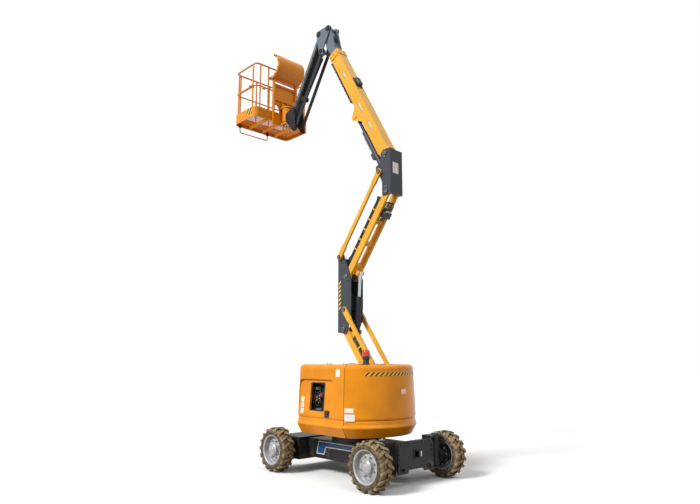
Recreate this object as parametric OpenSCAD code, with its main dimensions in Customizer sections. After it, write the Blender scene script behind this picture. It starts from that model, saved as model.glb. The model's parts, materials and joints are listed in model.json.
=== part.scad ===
// Articulating boom lift on four wheels: chassis, slewing turntable, two-stage
// parallel risers, telescopic boom, parallel jib and rotating work platform.
// Millimetres, +Z up. The boom points to -X, the steered axle is at +X.

/* [Wheels and axles] */
// Distance between front and rear wheel centres
wheelbase = 2180; // [1800:10:2600]
// Distance between the wheel centre planes
track = 1660; // [1400:10:2000]
// Outside diameter of a tyre over its lugs
tyre_d = 700; // [600:5:800]
// Width of a tyre
tyre_w = 240; // [180:5:300]
// Depth of the tread lugs
lug_h = 24; // [10:1:32]
// Number of lugs in each of the two rows
lug_n = 17; // [10:1:24]
// Width of a lug along the tread
lug_w = 46; // [30:1:60]
// Slant of a lug from the middle to the shoulder
lug_lean = 62; // [0:2:90]
// Rim seat diameter
rim_d = 450; // [380:5:500]
// Wheel bolts in a rim
bolt_n = 8; // [5:1:12]
// Wheel bolt circle
bolt_pcd = 275; // [200:5:320]
// Wheel bolt hole diameter
bolt_d = 18; // [12:1:24]
// Distance of the kingpin from the wheel centre plane
kingpin_in = 230; // [200:5:260]
// Kingpin diameter
kingpin_d = 60; // [40:2:80]
// Wheel spindle diameter
spindle_d = 80; // [50:2:100]
// Length of the steering arm
steer_arm = 190; // [150:5:200]

/* [Chassis] */
// Half width of the middle frame
frame_hw = 420; // [350:5:440]
// Underside of the middle frame
frame_z0 = 235; // [180:5:280]
// Top of the middle frame
frame_z1 = 530; // [480:5:560]
// Half width of the rear cross box
rear_hw = 620; // [560:5:640]
// Thickness of the front plate
front_plate = 20; // [12:1:30]
// Side of the square tow socket
tow_w = 90; // [60:5:110]
// Diameter of a tie-down hole
tie_d = 50; // [30:1:60]
// Outer diameter of the slewing ring
slew_d = 880; // [700:10:960]
// Bore of the slewing ring
slew_bore = 600; // [400:10:640]
// Top of the slewing ring
slew_z = 648; // [640:1:655]

/* [Turntable] */
// Radius of the round rear end
tail_r = 930; // [850:5:960]
// Depth of the counterweight from the seam to the round end
seam_in = 447; // [370:1:530]
// Front face of the hoods
hood_front = 690; // [600:5:760]
// Corner radius of the hoods in plan
hood_corner = 150; // [130:5:200]
// Bottom edge of the skirt
hood_z0 = 660; // [655:5:700]
// Top of the hoods
hood_z1 = 1735; // [1600:5:1850]
// Wall thickness of a hood
hood_t = 30; // [20:1:40]
// Height of the belt line
belt_z = 885; // [820:5:950]
// Lean of the cover walls towards the top
lean_in = 28; // [0:1:40]
// Depth of the hood recess at its arched top
recess_t = 36; // [20:1:44]
// Gap between hood and counterweight
hood_gap = 6; // [5:1:12]
// Half width of the riser slot
slot_hw = 205; // [195:5:215]
// Thickness of the slot walls
wall_t = 20; // [12:1:24]
// Window width in the service hood
window_w = 334; // [150:2:360]
// Window height in the service hood
window_h = 428; // [200:4:440]
// Diameter of the beacon dome
beacon_d = 116; // [90:2:140]
// Number of air slots in the engine hood
louvre_n = 7; // [3:1:9]

/* [Risers] */
// Pivot to pivot length of both riser arms
arm_l = 1630; // [1500:5:1700]
// Angle of the riser arms above the level
riser_deg = 54; // [50:1:58]
// Base pivot of the lower arm, inwards from the round end
base_in = 186; // [170:2:230]
// Base pivot of the lower arm, Z
base_z = 994; // [970:2:1020]
// Depth of a riser arm rail
rail_h = 118; // [90:2:130]
// Thickness of a riser arm rail
rail_t = 42; // [30:1:48]
// Outer half width of a riser arm
arm_hw = 122; // [110:1:124]
// Depth of a levelling link
link_h = 84; // [60:2:100]
// Width of a levelling link
link_t = 35; // [24:1:38]
// Height between the two arm pivots of the mast
mast_h = 897; // [860:1:940]
// Inner half width between the plates of the uprights
plate_in = 130; // [128:1:132]
// Thickness of the plates of the uprights
plate_t = 15; // [10:1:18]
// Main pivot pin diameter
pin_d = 70; // [50:2:80]
// Link pivot pin diameter
link_pin_d = 50; // [40:2:60]
// Running clearance of pins, on the radius
fit = 0.4; // [0.3:0.05:0.6]
// Riser cylinder barrel diameter
riser_cyl_d = 96; // [80:2:100]
// Riser cylinder rod diameter
riser_rod_d = 60; // [40:2:66]

/* [Boom] */
// Angle of the boom above the level
boom_deg = 61; // [55:1:65]
// Outer width of the boom tube
boom_w = 200; // [160:5:204]
// Outer depth of the boom tube
boom_h = 220; // [180:5:230]
// Wall of the boom tube
boom_wall = 12; // [8:1:16]
// Pivot to mouth length of the boom tube
boom_l = 2700; // [2600:10:2760]
// Drop of the boom centre line below its pivot
boom_drop = 50; // [40:2:60]
// Outer width of the sliding section
ext_w = 150; // [120:2:156]
// Outer depth of the sliding section
ext_h = 165; // [140:2:172]
// Boom cylinder barrel diameter
boom_cyl_d = 96; // [70:2:100]
// Boom cylinder rod diameter
boom_rod_d = 56; // [40:2:64]

/* [Jib] */
// Angle of the jib below the level
jib_deg = 58.7; // [54:0.1:62]
// Pivot to pivot length of the jib
jib_l = 1560; // [1500:5:1640]
// Half width of the jib beam
jib_hw = 60; // [50:1:62]
// Depth of the jib beam
jib_h = 140; // [120:2:150]
// Jib pin diameter
jib_pin_d = 60; // [40:2:64]
// Jib cylinder barrel diameter
jib_cyl_d = 74; // [60:2:76]
// Jib cylinder rod diameter
jib_rod_d = 40; // [30:2:46]

/* [Platform] */
// Depth of the platform
plat_d = 760; // [700:5:800]
// Width of the platform
plat_w = 1380; // [1200:10:1500]
// Height of the top rail above the floor
rail_top = 1100; // [1000:10:1150]
// Height of the toe boards
toe_h = 150; // [100:5:180]
// Thickness of the toe boards
toe_t = 14; // [8:1:20]
// Width of a floor slot
slot_w = 28; // [15:1:34]
// Slot pitch of the floor
slot_pitch = 40; // [36:1:60]
// Tube diameter of the rails
tube_d = 34; // [26:1:42]
// Bend radius of the rail corners
rail_bend = 90; // [60:5:140]
// Tube diameter of the hanging step
step_d = 22; // [16:1:30]
// Drop of the step below the floor frame
step_drop = 130; // [90:5:160]
// Distance from the rotator axis to the platform
rotator_gap = 170; // [160:5:200]
// Diameter of the platform rotator
rotator_d = 210; // [160:5:230]
// Radius of the console guard
guard_r = 267; // [240:1:275]
// Length of the console guard
guard_w = 660; // [600:10:680]
// Lean of the console guard towards the boom
guard_tilt = 18; // [0:1:24]
// Diameter of an anchor point hole
anchor_d = 25; // [20:1:32]

/* [Hidden] */
$fn = 48;
wb = wheelbase / 2;
tr = track / 2;
tyre_r = tyre_d / 2;
axle_z = tyre_r;
rim_r = rim_d / 2;
king_y = tr - kingpin_in;
pin_r = pin_d / 2;
lpin_r = link_pin_d / 2;
jpin_r = jib_pin_d / 2;
plate_out = plate_in + plate_t;
link_y0 = plate_out + 10;
link_y1 = link_y0 + link_t;
seam_x = tail_r - seam_in;
base_x = tail_r - base_in;
hood_hw = sqrt(tail_r * tail_r - seam_x * seam_x);
cos_r = cos(riser_deg);
sin_r = sin(riser_deg);
// Pivots in the plane of the boom, X and Z from the slewing axis
arm1_a = [base_x, base_z];
arm1_b = arm1_a + arm_l * [-cos_r, sin_r];
link1_off = [50, 327];
arm2_a = arm1_b + [60, mast_h];
arm2_b = arm2_a + arm_l * [cos_r, sin_r];
link2_off = [-130, 342];
boom_p = arm2_b + [-17, 651];
boom_u = [-cos(boom_deg), sin(boom_deg)];
boom_v = [sin(boom_deg), cos(boom_deg)];
lug_s = 150;
lug_t = 130;
riser_c0 = arm1_b + lug_s * [cos_r, -sin_r] + lug_t * [sin_r, cos_r];
riser_c1 = arm2_a + lug_s * [cos_r, sin_r] + lug_t * [sin_r, -cos_r];
boom_c0 = boom_p + [-150, -250];
boom_cx = 1160;
boom_cz = -262;
boom_c1 = boom_p + boom_cx * boom_u + boom_cz * boom_v;
level_x = boom_l + 555;
level_z = 100;
level_p = boom_p + level_x * boom_u + level_z * boom_v;
jib_p = level_p + [-270, -15];
jib_u = [-cos(jib_deg), -sin(jib_deg)];
jib_off = [70, -380];
jib_e = jib_p + jib_l * jib_u;
jcyl_k = jib_p + [40, -340];
jcyl_s = 1250;
jcyl_t = 128;
jcyl_lug = jib_p + jcyl_s * jib_u + jcyl_t * [sin(jib_deg), -cos(jib_deg)];
rot_x = jib_e[0] - 300;
plat_x1 = rot_x - rotator_gap;
plat_x0 = plat_x1 - plat_d;
floor_z = jib_e[1] - 40;
plat_hw = plat_w / 2;
mid_x0 = -wb + 330;
mid_x1 = wb - 240;
axle_x0 = wb - 110;
steer_x = wb - steer_arm + 5;
slew_x = -(plat_x0 - 40 + wb + tyre_r) / 2;
tail_in = tail_r - 330;
wall_x1 = tail_r - 80;
deck_hw = hood_hw - 125;
bay_hw = hood_hw - 135;
bay_x1 = seam_x - 63;

// Flat profile in X and Z made thick from y0 to y1
module slab(y0, y1) {
    translate([0, y1, 0])
        rotate([90, 0, 0])
            linear_extrude(y1 - y0)
                children();
}

// The same profile on both sides of the middle plane
module two_slabs(y0, y1) {
    slab(y0, y1) children();
    slab(-y1, -y0) children();
}

// Round bar across the machine at a point of the boom plane
module bar_y(p, r, y0, y1) {
    translate([p[0], y1, p[1]])
        rotate([90, 0, 0])
            cylinder(r = r, h = y1 - y0);
}

module two_bars(p, r, y0, y1) {
    bar_y(p, r, y0, y1);
    bar_y(p, r, -y1, -y0);
}

// Frames with local x along a member that points left or right
module to_left(p, deg) {
    translate([p[0], 0, p[1]])
        rotate([0, deg, 0])
            rotate([0, 0, 180])
                children();
}

module to_right(p, deg) {
    translate([p[0], 0, p[1]])
        rotate([0, -deg, 0])
            children();
}

// Frame with local x from one point of the boom plane to another
module from_to(p, q) {
    to_right(p, atan2(q[1] - p[1], q[0] - p[0])) children();
}

module disc2(p, r) {
    translate(p) circle(r = r);
}

module rect2(x0, z0, x1, z1) {
    polygon([[x0, z0], [x1, z0], [x1, z1], [x0, z1]]);
}

// Wheel frame: local z points outwards from the middle of the machine
module at_wheel(x, side) {
    translate([x, side * tr, axle_z])
        rotate([-90 * side, 0, 0])
            children();
}

// One row of slanted lugs from a shoulder to just across the middle
module lug_row(base, lean) {
    hw = tyre_w / 2;
    for (i = [0 : lug_n - 1])
        rotate([0, 0, 360 / lug_n * i])
            translate([base - 30, 0, 0])
                rotate([90, 0, 90])
                    linear_extrude(lug_h + 60)
                        polygon([[-lug_w / 2, -10], [lug_w / 2, -10], [lug_w / 2 + lean, hw - 4],
                            [lean - lug_w / 2, hw - 4]]);
}

module tyre_form(side) {
    hw = tyre_w / 2;
    base = tyre_r - lug_h;
    rotate_extrude($fn = 72)
        polygon([[rim_r + 0.3, -hw + 26], [rim_r + 14, -hw + 14], [rim_r + 45, -hw + 1],
            [base - 52, -hw], [base - 16, -hw + 10], [base, -hw + 34],
            [base, hw - 34], [base - 16, hw - 10], [base - 52, hw],
            [rim_r + 45, hw - 1], [rim_r + 14, hw - 14], [rim_r + 0.3, hw - 26]]);
    intersection() {
        rotate_extrude($fn = 72)
            polygon([[base - 24, -hw + 5], [tyre_r - 9, -hw + 5], [tyre_r, -hw + 30],
                [tyre_r, hw - 30], [tyre_r - 9, hw - 5], [base - 24, hw - 5]]);
        union() {
            lug_row(base, side * lug_lean);
            rotate([0, 0, 180 / lug_n])
                mirror([0, 0, 1])
                    lug_row(base, side * lug_lean);
        }
    }
}

module rim_form() {
    hw = tyre_w / 2;
    difference() {
        union() {
            rotate_extrude($fn = 72)
                polygon([[rim_r - 10, -hw + 24], [rim_r, -hw + 24], [rim_r, hw - 24],
                    [rim_r - 10, hw - 24]]);
            rotate_extrude($fn = 72)
                polygon([[rim_r - 10, hw - 24], [rim_r, hw - 24], [rim_r + 11, hw - 12],
                    [rim_r + 11, hw - 4], [rim_r + 3, hw - 4], [rim_r - 10, hw - 18]]);
            rotate_extrude($fn = 72)
                polygon([[spindle_d / 2 + fit, 30], [rim_r - 60, 30], [rim_r - 30, 12],
                    [rim_r - 10, 12], [rim_r - 10, 26], [rim_r - 26, 26],
                    [rim_r - 56, 44], [100, 44], [96, 92], [82, 104], [0, 104], [0, 90],
                    [spindle_d / 2 + fit, 90]]);
        }
        for (i = [0 : bolt_n - 1])
            rotate([0, 0, 360 / bolt_n * (i + 0.5)])
                translate([bolt_pcd / 2, 0, 20])
                    cylinder(d = bolt_d, h = 30);
    }
}

module hub_form() {
    translate([0, 0, -tyre_w / 2 - 15])
        cylinder(r = 170, h = 12);
    translate([0, 0, -tyre_w / 2 - 3])
        cylinder(r = 125, h = tyre_w / 2 + 28);
    translate([0, 0, 25])
        cylinder(d = spindle_d, h = 60);
}

module chassis_frame() {
    translate([mid_x0, -frame_hw, frame_z0])
        cube([mid_x1 - mid_x0, 2 * frame_hw, frame_z1 - frame_z0]);
    translate([mid_x1, -300, frame_z0])
        cube([axle_x0 - mid_x1, 600, 185]);
    translate([0, 0, frame_z1])
        cylinder(d = slew_d - 10, h = 70);
}

module front_axle() {
    z1 = axle_z + 285;
    difference() {
        translate([axle_x0, -frame_hw, frame_z0 - 5])
            cube([wb + 110 - axle_x0, 2 * frame_hw, 370]);
        translate([wb + 10, -tow_w / 2, 440 - tow_w / 2])
            cube([200, tow_w, tow_w]);
        for (s = [-1, 1])
            translate([wb + 10, s * 300, 250])
                rotate([0, 90, 0])
                    cylinder(d = tie_d, h = 200);
    }
    difference() {
        translate([wb + 110, 0, 0])
            rotate([90, 0, 90])
                linear_extrude(front_plate)
                    polygon([[-400, 190], [-190, 190], [-160, 240], [160, 240], [190, 190],
                        [400, 190], [400, 560], [340, 635], [-340, 635], [-400, 560]]);
        translate([wb, -tow_w / 2, 440 - tow_w / 2])
            cube([200, tow_w, tow_w]);
        for (s = [-1, 1])
            translate([wb, s * 300, 250])
                rotate([0, 90, 0])
                    cylinder(d = tie_d, h = 200);
    }
    for (s = [-1, 1]) {
        for (z = [[frame_z0 - 65, 30], [z1, 30]])
            difference() {
                union() {
                    translate([wb, s * king_y, z[0]])
                        cylinder(r = 88, h = z[1]);
                    translate([wb - 88, s > 0 ? frame_hw - 30 : -king_y, z[0]])
                        cube([176, king_y - frame_hw + 30, z[1]]);
                }
                translate([wb, s * king_y, z[0] - 1])
                    cylinder(d = kingpin_d + 2 * fit, h = z[1] + 2);
            }
        translate([wb - 88, s > 0 ? frame_hw - 30 : -frame_hw, frame_z0 - 65])
            cube([176, 30, z1 + 30 - frame_z0 + 65]);
    }
}

module rear_axle() {
    difference() {
        translate([-wb - 200, -rear_hw, 200])
            cube([wb + 200 + mid_x0, 2 * rear_hw, 350]);
        for (s = [-1, 1])
            translate([-wb - 201, s * 480, 262])
                rotate([0, 90, 0])
                    cylinder(d = tie_d, h = 121);
    }
    for (s = [-1, 1]) {
        at_wheel(-wb, s) hub_form();
        translate([-wb, s * (rear_hw - 1), axle_z])
            rotate([-90 * s, 0, 0])
                cylinder(r = 140, h = tr - tyre_w / 2 - 15 - rear_hw + 1);
    }
}

module slewing_ring() {
    translate([0, 0, frame_z1 + 70])
        difference() {
            cylinder(d = slew_d, h = slew_z - frame_z1 - 70, $fn = 96);
            translate([0, 0, -1])
                cylinder(d = slew_bore, h = 200, $fn = 96);
        }
}

module steering_cylinder() {
    difference() {
        union() {
            translate([steer_x, -220, 490])
                rotate([-90, 0, 0])
                    cylinder(d = 90, h = 440);
            for (s = [-1, 1])
                translate([steer_x, s * 150 - 20, 450])
                    cube([axle_x0 - steer_x, 40, 80]);
        }
        translate([steer_x, -300, 490])
            rotate([-90, 0, 0])
                cylinder(d = 44 + 2 * fit, h = 600);
    }
}

module steering_rod() {
    translate([steer_x, -king_y + 20, 490])
        rotate([-90, 0, 0])
            cylinder(d = 44, h = 2 * king_y - 40);
    for (s = [-1, 1])
        translate([steer_x, s * king_y, 462])
            cylinder(r = 34, h = 56);
}

module knuckle(side) {
    zt = axle_z + 285;
    zb = frame_z0 - 35;
    translate([wb, side * king_y, zb + 5])
        cylinder(r = 72, h = zt - zb - 10);
    translate([wb, side * king_y, zb - 30])
        cylinder(d = kingpin_d, h = zt - zb + 60);
    translate([wb, side * king_y, zt + 31])
        cylinder(r = 55, h = 14);
    translate([wb, side * king_y, zt + 20])
        cylinder(d = kingpin_d, h = 14);
    translate([wb, side * king_y, axle_z])
        rotate([-90 * side, 0, 0])
            cylinder(r = 110, h = kingpin_in - tyre_w / 2 - 15);
    at_wheel(wb, side) hub_form();
    translate([wb - steer_arm, side * king_y - 32, 425])
        cube([steer_arm, 64, 30]);
    translate([wb - steer_arm, side * king_y, 425])
        cylinder(r = 32, h = 30);
}

// Wall section of the turntable cover; d is measured from the nominal face
function cover_out(d0, z1) = concat(
    [[d0 - 62, hood_z0], [d0 + 12, belt_z - 85], [d0 + 12, belt_z - 70], [d0 - 4, belt_z - 35],
        [d0 - 9, belt_z + 8], [d0 - 15, belt_z + 20], [d0 - 4, belt_z + 40], [d0, belt_z + 58]],
    [for (i = [0 : 6]) [d0 - lean_in - 70 + 70 * cos(15 * i), z1 - 70 + 70 * sin(15 * i)]]);

function cover_in(d0, z1) = concat(
    [for (i = [6 : -1 : 0]) [d0 - lean_in - 70 + (70 - hood_t) * cos(15 * i),
        z1 - 70 + (70 - hood_t) * sin(15 * i)]],
    [[d0 - hood_t, belt_z + 58], [d0 - hood_t - 12, belt_z + 20], [d0 - hood_t - 4, belt_z - 40],
        [d0 - hood_t + 8, belt_z - 85], [d0 - hood_t - 62, hood_z0]]);

module cover_wall(d0) {
    polygon(concat(cover_out(d0, hood_z1),
        [[d0 - hood_corner + 6, hood_z1], [d0 - hood_corner + 6, hood_z1 - hood_t]],
        cover_in(d0, hood_z1)));
}

module turntable_frame() {
    difference() {
        union() {
            intersection() {
                translate([0, 0, slew_z + 2])
                    cylinder(r = tail_r - 140, h = 30, $fn = 96);
                translate([-570, -deck_hw, 0])
                    cube([1470, 2 * deck_hw, 1000]);
            }
            translate([-570, -deck_hw, slew_z + 2])
                cube([570, 2 * deck_hw, 30]);
            translate([0, 0, slew_z - 40])
                cylinder(d = slew_bore - 1, h = 60, $fn = 96);
        }
        translate([-800, -slot_hw + 25, slew_z])
            cube([230 + 120, 2 * slot_hw - 50, 60]);
    }
    for (s = [-1, 1])
        translate([0, s > 0 ? 0 : -2 * slot_hw - wall_t, 0])
            slab(slot_hw, slot_hw + wall_t)
                polygon([[-520, slew_z + 32], [wall_x1 - 70, slew_z + 32], [wall_x1, 770], [wall_x1, 1560],
                    [wall_x1 - 90, hood_z1 - 27.4], [-560, hood_z1 - 27.4], [-560, 1100]]);
    bar_y(arm1_a, pin_r, -slot_hw, slot_hw);
    two_bars(arm1_a, 62, arm_hw + 6, slot_hw);
    two_bars(arm1_a + link1_off, lpin_r, link_y0 - 3, slot_hw);
    translate([wall_x1 - 290, -slot_hw, slew_z + 32])
        cube([40, 2 * slot_hw, 120]);
}

module counterweight() {
    intersection() {
        difference() {
            rotate_extrude($fn = 120)
                polygon(concat([[tail_in, slew_z + 32], [tail_r - 134, slew_z + 32], [tail_r - 134, hood_z0]],
                    cover_out(tail_r, hood_z1), [[tail_in, hood_z1]]));
            slab(-slot_hw - wall_t - 7, slot_hw + wall_t + 7)
                polygon([[0, 0], [wall_x1 - 63, 0], [wall_x1 - 63, slew_z + 32], [wall_x1 + 7, 770],
                    [wall_x1 + 7, 1567], [wall_x1 - 83, hood_z1 - 20], [wall_x1 - 83, hood_z1 + 10],
                    [0, hood_z1 + 10]]);
        }
        translate([seam_x + 3, -1000, 0])
            cube([1000, 2000, 3000]);
    }
}

module hood_shell() {
    y_in = 240;
    c = hood_corner;
    x1 = seam_x + 3 - hood_gap;
    translate([-hood_front + c, 0, 0])
        rotate([90, 0, 90])
            linear_extrude(x1 + hood_front - c)
                cover_wall(hood_hw);
    translate([-hood_front + c, hood_hw - c, 0])
        rotate([0, 0, 90])
            rotate_extrude(angle = 90, $fn = 64)
                cover_wall(c);
    translate([-hood_front + c, y_in, 0])
        rotate([90, 0, 180])
            linear_extrude(hood_hw - c - y_in)
                cover_wall(c);
    translate([-hood_front + c - 7, y_in, hood_z1 - hood_t])
        cube([x1 + hood_front - c + 7, hood_hw - c - y_in + 7, hood_t]);
    translate([-540, y_in - 4, hood_z1 - hood_t / 2 - 4])
        rotate([0, 90, 0])
            cylinder(d = 16, h = x1 + 500);
}

// Rectangle with four round corners
module round2(x0, y0, x1, y1, r) {
    difference() {
        rect2(x0, y0, x1, y1);
        for (c = [[x0, y0, 1, 1], [x1, y0, -1, 1], [x1, y1, -1, -1], [x0, y1, 1, -1]])
            difference() {
                translate([c[0] + c[2] * (r - 1) / 2, c[1] + c[3] * (r - 1) / 2])
                    square(r + 1, center = true);
                disc2([c[0] + c[2] * r, c[1] + c[3] * r], r);
            }
    }
}

// Arched panel outline of a hood, shallow at the bottom and deep at the top
module recess_cut() {
    intersection() {
        slab(hood_hw - 120, hood_hw + 30)
            intersection() {
                round2(-590, 860, seam_x - 228, 1505, 95);
                rect2(-600, 965, seam_x - 183, 1510);
            }
        translate([-600, 0, 0])
            rotate([90, 0, 90])
                linear_extrude(1000)
                    polygon([[hood_hw + 40, 940], [hood_hw - 5, 940], [hood_hw - 20 - recess_t, 1520],
                        [hood_hw + 40, 1520]]);
    }
}

// Inner doubling behind the recess
module recess_pad() {
    translate([-600, 0, 0])
        rotate([90, 0, 90])
            linear_extrude(seam_x + 402)
                polygon([[hood_hw - 26, 935], [hood_hw - 34, 935], [hood_hw - 42 - recess_t, 1500],
                    [hood_hw - 42 - recess_t, 1545], [hood_hw - 46, 1545]]);
}

module hood_right() {
    scale([1, -1, 1])
        difference() {
            union() {
                hood_shell();
                recess_pad();
            }
            recess_cut();
            slab(hood_hw - 120, hood_hw + 20)
                rect2(22 - window_w, 1024, 22, 1024 + window_h);
        }
}

module hood_left() {
    difference() {
        union() {
            hood_shell();
            recess_pad();
        }
        recess_cut();
        for (i = [0 : louvre_n - 1])
            slab(hood_hw - 120, hood_hw + 20)
                rect2(-400, 1080 + 52 * i, 100, 1102 + 52 * i);
    }
}

module engine() {
    translate([-330, 270, slew_z + 32])
        cube([bay_x1 + 220, bay_hw - 270, 560]);
    translate([-240, 320, slew_z + 592])
        cube([bay_x1, bay_hw - 400, 150]);
    translate([bay_x1 - 90, 300, slew_z + 32])
        cube([90, bay_hw - 340, 420]);
}

module oil_tank() {
    translate([-460, -bay_hw + 20, slew_z + 32])
        cube([330, bay_hw - 290, 700]);
    translate([-300, -460, slew_z + 732])
        cylinder(d = 90, h = 40);
}

module control_box() {
    translate([-90, -bay_hw + 20, slew_z + 32])
        cube([300, 300, 330]);
    translate([-70, -bay_hw + 100, slew_z + 362])
        cube([250, 200, 390]);
    for (i = [0 : 3])
        translate([-30 + 55 * i, -bay_hw + 60, slew_z + 362])
            cylinder(d = 34, h = 130);
}

module beacon() {
    translate([tail_r - 370, -380, hood_z1]) {
        cylinder(d = 92, h = 80);
        translate([0, 0, 80])
            cylinder(d = beacon_d - 2, h = 45);
        translate([0, 0, 125])
            rotate_extrude()
                polygon(concat([[0, 0], [beacon_d / 2, 0]],
                    [for (i = [0 : 6]) [beacon_d / 2 - 36 + 36 * cos(15 * i), 69 + 36 * sin(15 * i)]],
                    [[0, 105]]));
    }
}

// One rail of a riser arm in its own frame
module rail2() {
    difference() {
        union() {
            rect2(0, -rail_h / 2, arm_l, rail_h / 2);
            disc2([0, 0], 78);
            disc2([arm_l, 0], 78);
        }
        disc2([0, 0], pin_r + fit);
        disc2([arm_l, 0], pin_r + fit);
    }
}

module arm_form(x_lug, z_lug) {
    k = z_lug > 0 ? 1 : -1;
    two_slabs(arm_hw - rail_t, arm_hw) rail2();
    for (x = [200, 620, 1040])
        translate([x, -arm_hw + rail_t, -40])
            cube([70, 2 * (arm_hw - rail_t), 80]);
    slab(-arm_hw + rail_t, arm_hw - rail_t)
        rect2(x_lug - 70, k > 0 ? rail_h / 2 - 24 : -rail_h / 2, x_lug + 70,
            k > 0 ? rail_h / 2 : -rail_h / 2 + 24);
    two_slabs(38, 58)
        difference() {
            union() {
                rect2(x_lug - 42, k > 0 ? rail_h / 2 - 10 : z_lug, x_lug + 42,
                    k > 0 ? z_lug : -rail_h / 2 + 10);
                disc2([x_lug, z_lug], 42);
            }
            disc2([x_lug, z_lug], 25 + fit);
        }
}

module lower_arm() {
    to_left(arm1_a, riser_deg)
        arm_form(arm_l - lug_s, lug_t);
}

module upper_arm() {
    to_right(arm2_a, riser_deg)
        arm_form(lug_s, -lug_t);
    to_right(arm2_a, riser_deg)
        two_bars([lug_s, -lug_t], 25, 36, 58 + 8);
}

// A levelling link: slim bar with deeper ends
module link2(l) {
    difference() {
        union() {
            rect2(0, -link_h / 2 + 8, l, link_h / 2 - 8);
            polygon([[0, -link_h / 2 - 6], [210, -link_h / 2 - 6], [250, -link_h / 2 + 8],
                [250, link_h / 2 - 8], [210, link_h / 2 + 6], [0, link_h / 2 + 6]]);
            polygon([[l, -link_h / 2 - 6], [l - 210, -link_h / 2 - 6], [l - 250, -link_h / 2 + 8],
                [l - 250, link_h / 2 - 8], [l - 210, link_h / 2 + 6], [l, link_h / 2 + 6]]);
            disc2([0, 0], link_h / 2 + 6);
            disc2([l, 0], link_h / 2 + 6);
        }
        disc2([0, 0], lpin_r + fit);
        disc2([l, 0], lpin_r + fit);
    }
}

module lower_links() {
    to_left(arm1_a + link1_off, riser_deg)
        two_slabs(link_y0, link_y1) link2(arm_l);
}

module upper_links() {
    to_right(arm2_a + link2_off, riser_deg)
        two_slabs(link_y0, link_y1) link2(arm_l);
}

module pivot_pin(p) {
    bar_y(p, pin_r, -plate_in, plate_in);
    two_bars(p, 60, arm_hw + 3, plate_in);
    two_bars(p, 48, plate_out, plate_out + 6);
}

module link_pin(p) {
    two_bars(p, lpin_r, plate_out, link_y1 + 8);
    two_bars(p, 38, plate_out, link_y0 - 1);
    two_bars(p, 38, link_y1 + 1, link_y1 + 8);
}

module mast() {
    a = arm1_b;
    b = arm2_a;
    x0 = a[0] - 136;
    two_slabs(plate_in, plate_out)
        polygon([[x0, a[1] - 55], [a[0] + 60, a[1] - 75], [a[0] + 165, a[1] + 150],
            [a[0] + 180, a[1] + 400], [a[0] + 180, b[1] - 60], [b[0] + 80, b[1] + 60],
            [b[0] - 60, b[1] + 385], [x0 + 10, b[1] + 405], [x0, b[1] + 390]]);
    translate([x0, -plate_in, a[1] + 90])
        cube([14, 2 * plate_in, mast_h + 250]);
    translate([a[0] - 60, -plate_in, a[1] + 330])
        cube([14, 2 * plate_in, 300]);
    pivot_pin(a);
    pivot_pin(b);
    link_pin(a + link1_off);
    link_pin(b + link2_off);
}

module upright() {
    a = arm2_b;
    b = boom_p;
    c = a + link2_off;
    two_slabs(plate_in, plate_out)
        polygon([[a[0] - 90, a[1] - 62], [a[0] + 100, a[1] - 62], [a[0] + 100, b[1] + 42],
            [a[0] + 60, b[1] + 62], [b[0] - 40, b[1] + 62], [b[0] - 95, b[1] + 10],
            [b[0] - 110, b[1] - 150], [boom_c0[0] - 62, boom_c0[1] + 50],
            [boom_c0[0] - 62, c[1] - 20], [c[0] - 20, c[1] - 58], [a[0] - 90, a[1] + 160]]);
    translate([a[0] + 86, -plate_in, a[1] - 62])
        cube([14, 2 * plate_in, b[1] - a[1] + 104]);
    pivot_pin(a);
    pivot_pin(b);
    link_pin(c);
    bar_y(boom_c0, 25, -plate_in, plate_in);
}

// Hydraulic cylinder: barrel from its eye, rod with its eye at the far end
module barrel_form(d, rod_d, l, bore_x, eye, pin, eye_hw) {
    difference() {
        union() {
            translate([eye * 0.7, 0, 0])
                rotate([0, 90, 0])
                    cylinder(d = min(d - 0.5, 2 * eye_hw + 4), h = l - eye * 0.7 - 5);
            translate([105, 0, 0])
                rotate([0, 90, 0])
                    cylinder(d = d, h = l - 105);
            bar_y([0, 0], eye, -eye_hw, eye_hw);
            translate([l - 50, 0, 0])
                rotate([0, 90, 0])
                    cylinder(d = d + 10, h = 50);
        }
        translate([bore_x, 0, 0])
            rotate([0, 90, 0])
                cylinder(d = rod_d + 2 * fit, h = l);
        bar_y([0, 0], pin + fit, -200, 200);
    }
}

module rod_form(d, x_in, l, eye, pin, eye_hw) {
    difference() {
        union() {
            translate([x_in, 0, 0])
                rotate([0, 90, 0])
                    cylinder(d = d, h = l - x_in - eye * 0.5);
            bar_y([l, 0], eye, -eye_hw, eye_hw);
        }
        bar_y([l, 0], pin, -200, 200);
    }
}

function gap(p, q) = norm(q - p);

module riser_barrel() {
    from_to(riser_c0, riser_c1)
        barrel_form(riser_cyl_d, riser_rod_d, 578, 50, 40, 24, 34);
    two_bars(riser_c0, 25, 32, 66);
}

module riser_rod() {
    from_to(riser_c0, riser_c1)
        rod_form(riser_rod_d, 410, gap(riser_c0, riser_c1), 40, 26, 34);
}

module boom_barrel() {
    from_to(boom_c0, boom_c1) {
        barrel_form(boom_cyl_d, boom_rod_d, 930, 60, 46, 25, 60);
        translate([330, -30, boom_cyl_d / 2 - 10])
            cube([120, 60, 50]);
    }
}

module boom_rod() {
    from_to(boom_c0, boom_c1)
        rod_form(boom_rod_d, 370, gap(boom_c0, boom_c1), 44, 26, 34);
}

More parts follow.
